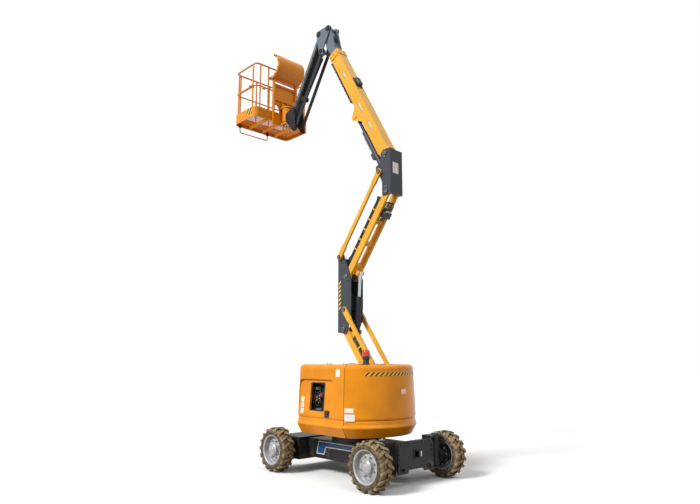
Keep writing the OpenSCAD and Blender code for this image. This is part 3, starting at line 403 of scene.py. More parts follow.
def silver_rim(colours):
    """Silver paint on pressed steel: pale, half gloss, with brake dust in faint patches."""
    return finish("silver paint on pressed steel", grain_mm=90, detail=4.0, span=(0.32, 0.56),
                  tones=(shade(colours.silver, 0.72), colours.silver),
                  skin=dict(grain_mm=10, detail=1.0, depth_mm=0.2, strength=0.3),
                  Roughness=0.36, Metallic=0.35)


def chromed_rod():
    """Ground and chromed rod: mirror metal, clouded a little by handling."""
    return finish("hard chrome on ground steel", grain_mm=30, detail=3.0, span=(0.3, 0.7),
                  tones=(rgb("#AEB2B6"), rgb("#D3D6D8")), Roughness=0.14, Metallic=1.0)


def zinc_plate():
    """Zinc plated fasteners: dull pale metal with mottled crystals."""
    return finish("zinc plated steel", grain_mm=12, detail=2.0, span=(0.35, 0.65),
                  tones=(rgb("#8B8F92"), rgb("#B9BCBE")), Roughness=0.42, Metallic=0.9)


def machined_steel():
    """Turned bearing steel: grey metal with a film of grease."""
    return finish("turned bearing steel", grain_mm=40, detail=3.0, span=(0.3, 0.7),
                  tones=(rgb("#5B5D60"), rgb("#85878A")), Roughness=0.38, Metallic=1.0)


def hose_rubber():
    """Wrapped hydraulic hose: dark rubber with the cloth imprint of its wrapping, drawn coarse to show."""
    return finish("wrapped hose rubber", grain_mm=60, detail=3.0, span=(0.3, 0.75),
                  tones=(rgb("#141415"), rgb("#2B2B2C")),
                  skin=dict(grain_mm=6, detail=1.0, depth_mm=0.4, strength=0.5), Roughness=0.62)


def black_nylon():
    """Moulded nylon: black with an even grained skin."""
    return finish("moulded black nylon", grain_mm=35, detail=3.0, span=(0.3, 0.8),
                  tones=(rgb("#171718"), rgb("#252527")),
                  skin=dict(grain_mm=4, detail=1.0, depth_mm=0.2, strength=0.5), Roughness=0.5)


def coloured_plastic(name, colour, roughness):
    """Moulded plastic: one colour through, with faint flow marks."""
    return finish(name, grain_mm=55, detail=2.0, span=(0.3, 0.7), tones=(shade(colour, 0.86), colour),
                  Roughness=roughness)


def vinyl_film(name, colour):
    """Printed vinyl film: flat colour with a soft sheen and slight fading."""
    return finish(name, grain_mm=180, detail=3.0, span=(0.3, 0.7), tones=(shade(colour, 0.9), colour),
                  Roughness=0.34)


def cast_iron():
    """Painted iron casting: dark, rough skinned, with oil film."""
    return finish("painted iron casting", grain_mm=80, detail=4.0, span=(0.3, 0.7),
                  tones=(rgb("#191A1C"), rgb("#34373A")),
                  skin=dict(grain_mm=7, detail=2.0, depth_mm=0.8, strength=0.6), Roughness=0.55)


def passivated_pipe(colours):
    """Plated steel pipe with a yellow passivated skin: dull gold, half gloss."""
    return finish("yellow passivated pipe", grain_mm=45, detail=2.0, span=(0.3, 0.7),
                  tones=(shade(colours.passivated, 0.75), colours.passivated), Roughness=0.36, Metallic=0.8)


def make_materials():
    """All finishes of the lift, by plain key."""
    c = bpy.context.scene.lift_colours
    MATERIAL.update(
        yellow=sprayed_enamel("yellow sprayed enamel", c.yellow, 0.3),
        # Painted light: a lighter copy of the body yellow for the brighter light on the boom, arms and
        # links
        boom_yellow=sprayed_enamel("yellow sprayed enamel with painted light", c.boom_yellow, 0.3, 0.88),
        grey=satin_paint("dark grey satin paint", c.grey, shade(c.grey, 1.35), (0.45, 0.75)),
        blue_grey=satin_paint("blue grey satin paint", c.blue_grey, shade(c.blue_grey, 1.15), (0.45, 0.75)),
        black=satin_paint("black satin paint with dust", c.black, shade(c.dust, 0.5), (0.60, 0.95)),
        jib_black=satin_paint("black satin paint", c.black, shade(c.black, 2.2), (0.45, 0.8)),
        rubber=dusty_tyre_with_painted_groove_shade(c),
        sidewall=bare_sidewall(c),
        silver=silver_rim(c),
        chrome=chromed_rod(),
        zinc=zinc_plate(),
        steel=machined_steel(),
        hose=hose_rubber(),
        nylon=black_nylon(),
        console=coloured_plastic("orange yellow moulded guard", c.yellow, 0.38),
        lens=coloured_plastic("moulded beacon lens", c.lens, 0.16),
        stop=coloured_plastic("moulded red knob", c.stop, 0.25),
        pad=coloured_plastic("pale nylon wear pad", rgb("#D9CDB0"), 0.5),
        label=vinyl_film("blank vinyl label", c.label),
        stripe=vinyl_film("blue vinyl stripe", c.stripe),
        hazard_yellow=vinyl_film("yellow hazard film", rgb("#F0C21A")),
        hazard_black=vinyl_film("black hazard film", rgb("#1B1B1C")),
        iron=cast_iron(),
        passivated=passivated_pipe(c),
    )


NODE_FINISH = {
    "black": ("chassis_frame", "front_axle", "rear_axle", "knuckle_left", "knuckle_right",
              "steering_cylinder"),
    "jib_black": ("jib_beam", "jib_links", "jib_barrel", "jib_bracket", "riser_barrel", "oil_tank",
                  "boom_rod"),
    "steel": ("slewing_ring",),
    "chrome": ("steering_rod", "riser_rod", "jib_rod"),
    "rubber": tuple("tyre_" + w for w in WHEELS),
    "silver": tuple("rim_" + w for w in WHEELS),
    "yellow": ("counterweight", "hood_left", "hood_right", "platform_mount", "platform_floor",
               "platform_rails", "entry_bar"),
    "boom_yellow": ("boom_tube", "lower_arm", "lower_links", "upper_arm", "upper_links"),
    "grey": ("turntable_frame", "mast", "upright", "control_box", "boom_barrel"),
    "blue_grey": ("boom_slide", "level_head"),
    "iron": ("engine",),
    "lens": ("beacon",),
    "console": ("control_console",),
}


def finish_nodes():
    """Gives each solid of the frame its finish."""
    for key, nodes in NODE_FINISH.items():
        for name in nodes:
            for holder in frame["nodes"][name].material_slots:
                holder.material = MATERIAL[key]


# Wheels and chassis

SLEW_X = PIVOT["turntable_slew"].x

# Faces of the chassis and places of its wheels, in millimetres
FRAME_SIDE, FRONT_FACE, REAR_FACE = 420, 1220, -1290
AXLE_X, AXLE_Z, HUB_BACK = 1090, 350, 695

# Circles and faces of a rim, in metres
NUT_CIRCLE, NUT_SEAT = 0.1375, 0.044
CAP_CIRCLE, CAP_SEAT = 0.062, 0.104
VALVE_CIRCLE, VALVE_SEAT = 0.204, 0.02

# Radius and height of the bare rings on a sidewall
SIDEWALL = ((232, 101), (239, 108), (248, 112), (250, 115), (255, 117), (257, 116.5), (270, 121),
            (275, 122), (279, 124), (284, 123), (286, 119.5), (299, 116), (302, 111))

# Outlines of the side stripe and of the pale film under it
STRIPE = ((-540, 310), (-500, 490), (330, 490), (330, 425), (-330, 425), (-380, 310))
STRIPE_EDGE = ((-556, 298), (-511, 502), (342, 502), (342, 413), (-322, 413), (-371, 298))
FILM = 0.001  # thickness of a label, in metres

# Way of a hub hose as x, y and drop: out of the axle, round the kingpin and into the motor
HUB_LOOP = ((1020, 470, 0), (1004, 509, -4), (965, 525, -12), (905, 527, -34), (868, 542, -44),
            (852, 580, -44), (868, 617, -34), (905, 632, -14), (950, 632, -2))


def spot(x, y, z):
    """Point in metres from millimetres forward of the slewing axis, across and up."""
    return Vector((x * MM + SLEW_X, y * MM, z * MM))


def spokes(axis, count, turn=0.0):
    """Directions evenly round an axis."""
    side = axis.orthogonal().normalized()
    other = axis.normalized().cross(side)
    for i in range(count):
        a = math.tau * (i + turn) / count
        yield side * math.cos(a) + other * math.sin(a)


def dress_wheel(wheel, sizes):
    """Nuts, hub cap, valve and bare sidewalls of one wheel."""
    body = "wheel_" + wheel
    centre = PIVOT[body + "_spin"]
    out = Y if centre.y > 0 else -Y
    nut = sizes.wheel_nut / MM / HEXAGON
    nuts, cap, valve, walls = shapes(4)

    def round_rim(angle, circle, seat):
        return centre + (X * math.cos(angle) + Z * math.sin(angle)) * circle + out * seat

    for i in range(8):
        at = round_rim(math.tau * (i + 0.5) / 8, NUT_CIRCLE, NUT_SEAT)
        nuts.turned(at, out, [(nut + 6, -1), (nut + 6, 3), (nut + 1, 6), (0, 6)], 18)
        nuts.turned(at, out, [(nut, 3), (nut, 21), (nut * 0.84, 25), (0, 25)], 6)
        nuts.turned(at, out, [(9, 20), (9, 36), (7, 39), (0, 39)], 12)
    hub = centre + out * CAP_SEAT
    cap.turned(hub, out, [(80, -3), (80, 3), (76, 6), (44, 6), (40, 10), (22, 10), (20, 16), (0, 16)], 40)
    for spoke in spokes(Y, 10):
        cap.bolt(hub + spoke * CAP_CIRCLE + out * 0.006, out, 13, False)
    at = round_rim(math.radians(22.5), VALVE_CIRCLE, VALVE_SEAT)
    valve.turned(at, out, [(9, -2), (9, 12), (6, 16), (6, 32), (8, 34), (8, 46), (6, 48), (0, 48)], 14)
    for face in (out, -out):
        walls.turned(centre, face, SIDEWALL, 72)
    nuts.piece("wheel_nuts_" + wheel, body, "zinc")
    cap.piece("hub_cap_" + wheel, body, "silver")
    valve.piece("tyre_valve_" + wheel, body, "nylon")
    walls.piece("tyre_sidewalls_" + wheel, body, "sidewall")


class LIFT_OT_wheels(bpy.types.Operator):
    """Adds nuts, hub caps, valves and sidewalls"""

    bl_idname = "lift.wheels"
    bl_label = "Wheels"

    def execute(self, context):
        for wheel in WHEELS:
            dress_wheel(wheel, context.scene.lift_sizes)
        return {"FINISHED"}


def ring_plate(shape, at, axis, outer, inner, height):
    """A flat welded ring round a hole."""
    outline = [(inner, -2), (inner, height), (outer - 2, height), (outer, height - 2), (outer, -2)]
    shape.turned(at, axis, outline, 36)


def dress_chassis(sizes):
    """Side stripes, tie-down rings, plate bolts, rear hub bolts and the front label."""
    film, edge, rings, bolts, label = shapes(5)
    for side in SIDES:
        edge.plate([spot(x, side * FRAME_SIDE, z) for x, z in STRIPE_EDGE], Y * side * 0.0012)
        film.plate([spot(x, side * (FRAME_SIDE + 1.2), z) for x, z in STRIPE], Y * side * 0.0008)
        ring_plate(rings, spot(FRONT_FACE, side * 300, 250), X, 44, 26, 8)
        ring_plate(rings, spot(REAR_FACE, side * 480, 262), -X, 44, 26, 8)
        for y, z in ((368, 540), (368, 470), (368, 400), (318, 606), (150, 606), (368, 320)):
            bolts.bolt(spot(FRONT_FACE, side * y, z), X, sizes.frame_bolt / MM)
        for y, z in ((560, 500), (560, 250), (300, 500), (300, 250)):
            bolts.bolt(spot(REAR_FACE, side * y, z), -X, sizes.frame_bolt / MM)
        for spoke in spokes(Y, 10):
            bolts.bolt(spot(-AXLE_X, side * HUB_BACK, AXLE_Z) + spoke * 0.154, -Y * side, 18, False)
        rings.block(spot(FRONT_FACE + 6, side * 52, 440), Z, X, (128, 14, 12))
        rings.block(spot(FRONT_FACE + 6, 0, 440 + side * 57), Y, X, (118, 14, 12))
    label.plate([spot(FRONT_FACE, y, z) for y, z in ((100, 400), (128, 400), (128, 475), (100, 475))],
                X * FILM)
    edge.piece("stripe_edges", "chassis", "label")
    film.piece("stripe_films", "chassis", "stripe")
    rings.piece("tie_down_rings", "chassis", "black")
    bolts.piece("chassis_bolts", "chassis", "black")
    label.piece("front_plate_label", "chassis", "label")


def dress_knuckle(side, sizes):
    """Kingpin bolts, hub bolts and the two hoses of a wheel motor."""
    end_name = "left" if side > 0 else "right"
    body = "knuckle_" + end_name
    bolts, fittings, caps = shapes(3)
    top = spot(AXLE_X, side * 600, 680)
    bolts.bolt(top, Z, 30)
    for spoke in spokes(Z, 4, 0.5):
        bolts.bolt(top + spoke * 0.042, Z, 13, False)
    for spoke in spokes(Y, 10):
        bolts.bolt(spot(AXLE_X, side * HUB_BACK, AXLE_Z) + spoke * 0.152, -Y * side, 18, False)
    bolts.piece("knuckle_bolts_" + end_name, body, "zinc")
    for z in (326, 374):
        hose = Shape()
        start, end = spot(1020, side * FRAME_SIDE, z), spot(984, side * 632, z)
        fittings.turned(end, X, [(12, -40), (15, -38), (15, -22), (12, -20), (12, 6)], 6)
        caps.turned(start, Y * side, [(16, -2), (16, 14), (12, 16), (12, 34), (0, 34)], 6)
        loop = [spot(x, side * y, z + drop) for x, y, drop in HUB_LOOP]
        hose.tube([start + Y * side * 0.02, *loop, end - X * 0.02], sizes.hose / MM / 2 - 2.5)
        made = hose.piece(f"hub_hose_{end_name}_{z}", None, "hose")
        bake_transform(made)
    fittings.piece("hub_fittings_" + end_name, body, "zinc")
    caps.piece("axle_fittings_" + end_name, "chassis", "zinc")


class LIFT_OT_chassis(bpy.types.Operator):
    """Adds stripes, rings, bolts and hub hoses"""

    bl_idname = "lift.chassis"
    bl_label = "Chassis"

    def execute(self, context):
        sizes = context.scene.lift_sizes
        dress_chassis(sizes)
        for side in SIDES:
            dress_knuckle(side, sizes)
        return {"FINISHED"}


# Turntable covers, in millimetres

TAIL_RADIUS, HOOD_FACE = 930, 794.8
COVER_LEAN, COVER_FOOT, COVER_RISE = 28, 943, 722
RECESS_LEAN, RECESS_FOOT, RECESS_RISE, RECESS_DEPTH = 51, 940, 580, 5
LABEL_LIFT = 0.2
STRIP_RADIUS, STRIP_FOOT, STRIP_HALF_ANGLE = 905, 1566, math.radians(37.7)
SEAM_ANGLE = math.radians(-57.4)
BEACON_X, BEACON_Y = 560, -380
BEACON_BASE = ((66, -1), (66, 8), (60, 12), (50, 14), (48, 20), (48, 76), (56, 80), (61, 84), (61, 92),
               (59, 94), (59, 112), (61, 114), (61, 126), (58.4, 128))


def cover_depth(z):
    """How far the cover wall has leaned in at a height."""
    return COVER_LEAN * (z - COVER_FOOT) / COVER_RISE


def tail_point(angle, z, proud=0.0):
    """Point on the round rear cover at an angle from straight back."""
    r = TAIL_RADIUS - cover_depth(z) + proud
    return spot(r * math.cos(angle), r * math.sin(angle), z)


def hazard_strip(point, length, height, pitch, reach):
    """Slanted bars: point gives a place from millimetres along and up; returns yellow and black shapes."""
    bars = shapes(2)
    half = pitch / 2
    count = math.ceil((length + reach) / half)
    for i in range(count):
        low = [i * half - reach + k * half / 4 for k in range(5)]
        rows = []
        for level in range(5):
            t = level / 4
            rows.append([point(min(max(s + reach * t, 0), length), height * t) for s in low])
        if (rows[0][0] - rows[0][-1]).length + (rows[-1][0] - rows[-1][-1]).length > 0.002:
            bars[i % 2].skin(rows, closed_ring=False)
    return bars


def hood_y(z, side, proud=0.0):
    """Y of a hood's outer face."""
    return side * (HOOD_FACE - cover_depth(z) + proud)


def hood_label(shape, x0, x1, z0, z1, side):
    """A blank label flat on a hood."""
    corners = ((x0, z0), (x1, z0), (x1, z1), (x0, z1))
    shape.plate([spot(x, hood_y(z, side, LABEL_LIFT), z) for x, z in corners], Y * side * FILM)


def tail_label(shape, angle, width, z0, z1):
    """A blank label bent round the rear cover."""
    step = width / TAIL_RADIUS / 4
    rows = [[tail_point(angle + step * k, z, 1.0) for k in range(5)] for z in (z0, z1)]
    shape.skin(rows, closed_ring=False)


def latch(shape, side):
    """Flush paddle latch: a rounded body with a finger well and a paddle."""
    y = hood_y(965, side, -4)
    shape.block(spot(112, y, 986), X, Z, (104, 30, 106), 12)
    shape.block(spot(112, y + side * 15, 1004), X, Z, (68, 12, 44), 5)
    shape.turned(spot(112, y + side * 14, 955), Y * side, [(17, -2), (17, 4), (14, 7), (0, 7)], 20)


def rounded_frame(shape, x0, x1, z0, z1, place, width, height):
    """A rubber trim round an opening, as one closed bar."""
    corner = 22
    path = []
    for cx, cz, start in ((x1 - corner, z0 + corner, -90), (x1 - corner, z1 - corner, 0),
                          (x0 + corner, z1 - corner, 90), (x0 + corner, z0 + corner, 180)):
        for k in range(5):
            a = math.radians(start + 22.5 * k)
            path.append((cx + corner * math.cos(a), cz + corner * math.sin(a), math.cos(a), math.sin(a)))
    rings = []
    for lift, grow in ((0, -width), (height, -width), (height + 2, -width / 2), (height, 0), (0, 0)):
        rings.append([place(x + nx * grow, z + nz * grow, lift) for x, z, nx, nz in path])
    shape.skin(rings)


def recess_place(side):
    """Points on the sloping floor of a hood recess."""

    def place(x, z, lift):
        slope = RECESS_LEAN * (z - RECESS_FOOT) / RECESS_RISE
        return spot(x, side * (HOOD_FACE - RECESS_DEPTH - slope + lift), z)

    return place


def dress_covers(sizes):
    """Hazard strip, labels, beacon base, latches, hinges and the window's trim."""
    reach = 1.1 * sizes.hazard_height / MM
    span = STRIP_HALF_ANGLE * STRIP_RADIUS
    strip = hazard_strip(lambda s, h: tail_point((s - span) / STRIP_RADIUS, STRIP_FOOT + h, 1.2), 2 * span,
                         sizes.hazard_height / MM, sizes.hazard_pitch / MM, reach)
    for shape, tone in zip(strip, ("yellow", "black")):
        shape.piece("hazard_strip_" + tone, "turntable", "hazard_" + tone)
    tails, base, hinge = shapes(3)
    tail_label(tails, SEAM_ANGLE, 138, 1032, 1096)
    tail_label(tails, SEAM_ANGLE, 156, 908, 1008)
    tail_label(tails, math.radians(2), 120, 1290, 1362)
    tails.piece("cover_labels", "turntable", "label")
    base.turned(spot(BEACON_X, BEACON_Y, 1735), Z, BEACON_BASE, 40)
    for spoke in spokes(Z, 4, 0.5):
        base.bolt(spot(BEACON_X, BEACON_Y, 1743) + spoke * 0.058, Z, 8, False)
    base.piece("beacon_base", "turntable", "nylon")
    for side, body in ((-1, "hood_right"), (1, "hood_left")):
        labels, black, leaf = shapes(3)
        hood_label(labels, 290, 384, 1552, 1666, side)
        place = recess_place(side)
        for z in (970, 1058, 1146):
            corners = ((-536, z), (-466, z), (-466, z + 72), (-536, z + 72))
            labels.plate([place(x, h, LABEL_LIFT) for x, h in corners], Y * side * FILM)
        labels.piece(body + "_labels", body, "label")
        latch(black, side)
        black.piece(body + "_latch", body, "nylon")
        for x in (-430, -30, 370):
            axis = spot(x, side * 236, 1722)
            leaf.block(spot(x, side * 268, 1736.5), X, Z, (120, 46, 5), 1.5)
            leaf.turned(axis + X * 0.001, X, [(0, -58), (10, -58), (10, -22), (0, -22)], 16)
            leaf.turned(axis, X, [(0, 22), (10, 22), (10, 58), (0, 58)], 16)
            hinge.turned(axis, X, [(0, -20), (10, -20), (10, 20), (0, 20)], 16)
            for dx in (-40, 40):
                leaf.bolt(spot(x + dx, side * 276, 1738), Z, sizes.small_bolt / MM, False)
        leaf.piece(body + "_hinges", body, "black")
    hinge.piece("hood_hinge_knuckles", "turntable", "black")
    trim = Shape()
    rounded_frame(trim, -316, 26, 1020, 1456, recess_place(-1), 12, 5)
    trim.piece("window_trim", "hood_right", "nylon")


def dress_window():
    """Valve bank with its jumper hoses, switch boxes, gauges and the stop knob seen through the window."""
    dark, pale, yellow, stop, plate, hoses = shapes(6)
    plate.block(spot(-290, -652, 1034), X, Z, (240, 24, 28), 3)
    plate.block(spot(-300, -663, 1356), X, Z, (110, 8, 44), 2)
    dark.block(spot(-290, -650, 1356), X, Z, (210, 22, 60), 4)
    dark.block(spot(-126, -658, 1262), X, Z, (68, 40, 84), 5)
    dark.block(spot(-295, -606, 1442), X, Z, (330, 8, 126), 2)
    valves = [(x, 1200 + 24 * (i % 2), -652 - 16 * (i % 2)) for i, x in enumerate((-370, -310, -250, -190))]
    for x, z, port_y in valves:
        dark.block(spot(x, -660, z), X, Z, (46, 40, 110), 4)
        dark.turned(spot(x, -660, z + 54), Z, [(17, 0), (17, 36), (13, 42), (0, 42)], 20)
        pale.turned(spot(x, -681, z + 20), -Y, [(13, -2), (13, 7), (9, 9), (0, 9)], 18)
        pale.turned(spot(x, port_y, z - 54), -Z, [(9, 0), (9, 10), (8, 12), (8, 18), (0, 18)], 12)
        yellow.turned(spot(x, -681, z - 22), -Y, [(9, -2), (9, 10), (6, 12), (0, 12)], 14)
    bend = 60
    for (x, z, y), (far_x, _, _) in zip(valves, valves[2:]):
        low, middle = z - 80, (x + far_x) / 2
        turn = [spot(middle - bend * math.cos(math.pi * k / 16), y, low - bend * math.sin(math.pi * k / 16))
                for k in range(17)]
        hoses.tube([spot(x, y, z - 60), *turn, spot(far_x, y, z - 60)], 7, steps=0)
    for i, x in enumerate((-75, -25)):
        dark.block(spot(x, -596, 1180), X, Z, (40, 72, 260), 5)
        pale.turned(spot(x, -633, 1240 - 70 * i), -Y, [(24, -2), (24, 10), (21, 13), (0, 13)], 24)
        yellow.block(spot(x, -634, 1120), X, Z, (22, 6, 30), 2)
    stop.turned(spot(-122, -679, 1262), -Y, [(12, -2), (12, 14), (23, 16), (25, 23), (20, 30), (0, 32)], 28)
    dark.piece("service_valves", "turntable", "nylon")
    pale.piece("service_gauges", "turntable", "zinc")
    yellow.piece("service_caps", "turntable", "hazard_yellow")
    stop.piece("service_stop_knob", "turntable", "stop")
    plate.piece("service_plates", "turntable", "blue_grey")
    hoses.piece("service_hoses", "turntable", "hose")


class LIFT_OT_turntable(bpy.types.Operator):
    """Adds the strip, labels, latches, hinges, beacon base and service parts"""

    bl_idname = "lift.turntable"
    bl_label = "Turntable"

    def execute(self, context):
        dress_covers(context.scene.lift_sizes)
        dress_window()
        return {"FINISHED"}


# Riser arms, boom and jib

# Outer faces that pin heads and pivot covers sit on, and radii of the pins, in millimetres
CHEEK, LINK_FACE, HEAD_CHEEK = 151, 198, 122
PIN, LINK_PIN = 42, 32
BULKHEAD = 18  # from the end of a hose run to the middle of its bulkhead


def pin_pair(shape, joint, reach, radius, keeper=None):
    """Pin heads on both sides of a pivot, with keeper plates where the plates are flat."""
    for side in SIDES:
        at = PIVOT[joint] + Y * side * reach * MM
        shape.pin_head(at, Y * side, radius)
        if keeper:
            turn = Vector((math.cos(keeper), 0, math.sin(keeper)))
            middle, along = at + turn * 0.068, turn.cross(Y)
            shape.block(middle - Y * side * 0.002, along, Y * side, (76, 26, 9), 2)
            for k in SIDES:
                shape.bolt(middle + along * 0.027 * k + Y * side * 0.002, Y * side, 13, False)


def hose_run(name, body, member, lanes, rows, start, end, radius, clips, slack=3):
    """Hoses along a member between two bulkheads, held by clips; rows are heights above its line."""
    hoses, blocks, straps = shapes(3)
    low, high = min(rows) - radius, max(rows) + radius
    mid, level = sum(lanes) / len(lanes), (low + high) / 2
    wide, tall = max(lanes) - min(lanes) + 4 * radius, high - low + 10
    count = 2 * (clips + 1)
    ferrule = [(radius + grow, h) for grow, h in ((4, -4), (4, 16), (2, 18), (2, 44), (0, 46))]
    for i, (y, n) in enumerate((y, n) for y in lanes for n in rows):
        points = []
        for k in range(count + 1):
            sag = slack + i % 3 if k % 2 else 0
            points.append(member.at(start + (end - start) * k / count, n - sag, y + sag * (i % 2 - 0.5)))
        hoses.tube(points, radius, 10, 3)
        for s, way in ((start, 1), (end, -1)):
            blocks.turned(member.at(s, n, y), member.along * way, ferrule, 6)
    for s, way in ((start, -1), (end, 1)):
        blocks.block_on(member, (s + way * BULKHEAD, level, mid), (44, wide, tall), 3)
    for k in range(1, clips + 1):
        s = start + (end - start) * k / (clips + 1)
        straps.block_on(member, (s, level, mid), (26, wide, tall), 4)
        straps.bolt(member.at(s, high + 5, mid), member.up, 10, False)
    hoses.piece(name + "_hoses", body, "hose")
    return blocks, straps


def cylinder_pipe(name, body, member, port, far, barrel, side):
    """Hard pipe along a cylinder barrel with its two fittings and clamps."""
    pipe, fittings = shapes(2)
    foot, lip, run = barrel * 0.8, barrel + 4, barrel + 16
    way = ((port, foot), (port, lip), (port + 18, run), (port + 60, run),
           (far - 60, run), (far - 18, run), (far, lip), (far, foot))
    pipe.tube([member.at(s, side * n, 0) for s, n in way], 7, 10, 4)
    for s in (port, far):
        fittings.turned(member.at(s, side * (barrel - 3), 0), member.up * side,
                        [(17, -4), (17, 8), (13, 10), (13, 18), (9, 20)], 6)
    for t in (0.3, 0.7):
        fittings.block_on(member, (port + (far - port) * t, side * (barrel + 10), 0), (24, 30, 24), 3)
    pipe.piece(name + "_pipe", body, "zinc")
    fittings.piece(name + "_fittings", body, "zinc")


def gland(name, body, member, end, rod, barrel):
    """Gland nut and wiper at the open end of a barrel."""
    ring = Shape()
    nut = [(barrel + 3, -8), (barrel + 3, 4), (barrel - 2, 8), (rod + 10, 8), (rod + 8, 14), (rod + 1, 14)]
    ring.turned(member.at(end, 0, 0), member.along, nut, 40)
    for spoke in spokes(member.along, 4):
        ring.bolt(member.at(end + 6, 0, 0) + spoke * (barrel - 9) * MM, member.along, 10, False)
    ring.piece(name + "_gland", body, "nylon")


def dress_manifold(arm, radius):
    """Valve block between the rails of the upper arm, its hoses into the cross box and its looped hoses."""
    block, caps, hoses = shapes(3)
    fitting = [(14, -3), (14, 10), (11, 12), (11, 28), (0, 28)]
    upper, lower = -8, -130  # rows of ports
    block.block_on(arm, (1260, upper, 0), (150, 158, 70), 4)
    block.block_on(arm, (1250, -94, 0), (110, 146, 112), 4)
    bend, thin = (upper - lower) / 2, radius - 1.5
    for i, y in enumerate((-48, -16, 16, 48)):
        centre = 1394 + 9 * (i % 2)
        for s, n, way in ((1336, upper, 1), (1184, upper, -1), (1306, lower, 1)):
            caps.turned(arm.at(s, n, y), arm.along * way, fitting, 6)
        loop = [arm.at(centre + bend * math.cos(a), upper - bend + bend * math.sin(a), y)
                for a in (math.pi * (0.5 - k / 6) for k in range(7))]
        hoses.tube([arm.at(1340, upper, y), arm.at(1366, upper, y), *loop, arm.at(1350, lower, y),
                    arm.at(1312, lower, y)], thin, 10, 3)
        hoses.tube([arm.at(1168, upper, y), arm.at(1140, upper, y), arm.at(1108, -6, y)], thin, 10, 4)
    block.piece("upper_arm_manifold", "upper_arm", "nylon")
    caps.piece("upper_arm_fittings", "upper_arm", "zinc")
    hoses.piece("upper_arm_loops", "upper_arm", "hose")


def dress_risers(sizes):
    """Pins, hoses, clips, valve block, marks, label and cylinder fittings of the riser arms."""
    radius = sizes.hose / MM / 2
    mast, upright = shapes(2)
    for shape, joint, keeper in ((mast, "mast_level", 1.2), (mast, "upper_arm_lift", -1.2),
                                 (upright, "upright_level", 1.9), (upright, "boom_lift", -1.9)):
        pin_pair(shape, joint, CHEEK, PIN, keeper)
    pin_pair(mast, "upper_link_turn", LINK_FACE, LINK_PIN)
    pin_pair(upright, "boom_barrel_turn", 145, 30)
    for shape, top, link, foot in ((mast, "mast_level", "lower_link_turn", "riser_lift"),
                                   (upright, "upright_level", "upper_link_turn", "upper_arm_lift")):
        link_end = PIVOT[top] + PIVOT[link] - PIVOT[foot]
        for side in SIDES:
            shape.pin_head(link_end + Y * side * LINK_FACE * MM, Y * side, LINK_PIN)
    mast.piece("mast_pins", "mast", "steel")
    upright.piece("upright_pins", "upright", "steel")
    near, clips = 300, 5
    for name, start, end, far in (("lower_arm", "riser_lift", "mast_level", 1340),
                                  ("upper_arm", "upper_arm_lift", "upright_level", 1430)):
        arm = between(start, end)
        blocks, straps = hose_run(name, name, arm, (-108, -86), (84, 106, 128), near, far, radius, clips)
        for s in (near - BULKHEAD, far + BULKHEAD):
            blocks.block_on(arm, (s, 68, -97), (44, 44, 30), 3)
        for k in range(1, clips + 1):
            straps.block_on(arm, (near + (far - near) * k / (clips + 1), 66, -97), (26, 44, 24), 3)
        blocks.piece(name + "_bulkheads", name, "nylon")
        straps.piece(name + "_clips", name, "boom_yellow")
    dress_manifold(between("upper_arm_lift", "upright_level"), radius)
    marks, patch = shapes(2)
    for i in range(7):
        z = 2.66 + 0.072 * i
        corners = ((0.476, z - 0.02), (0.526, z + 0.018), (0.526, z + 0.052), (0.476, z + 0.014))
        marks.plate([Vector((x, -0.1452, h)) for x, h in corners], -Y * FILM)
    marks.piece("mast_marks", "mast", "hazard_yellow")
    face = PIVOT["upright_level"].x + 0.1
    corners = ((-0.088, 4.82), (0.05, 4.82), (0.05, 5.005), (-0.088, 5.005))
    patch.plate([Vector((face, y, z)) for y, z in corners], X * FILM)
    patch.piece("upright_label", "upright", "label")
    barrel = Member(PIVOT["riser_barrel_turn"], SLIDE["riser_rod_slide"])
    cylinder_pipe("riser_cylinder", "riser_barrel", barrel, 150, 500, 48, 1)
    gland("riser_cylinder", "riser_barrel", barrel, 578, 30, 48)


class LIFT_OT_risers(bpy.types.Operator):
    """Adds pins, hoses, clips and marks of the riser arms"""

    bl_idname = "lift.risers"
    bl_label = "Riser arms"

    def execute(self, context):
        dress_risers(context.scene.lift_sizes)
        return {"FINISHED"}


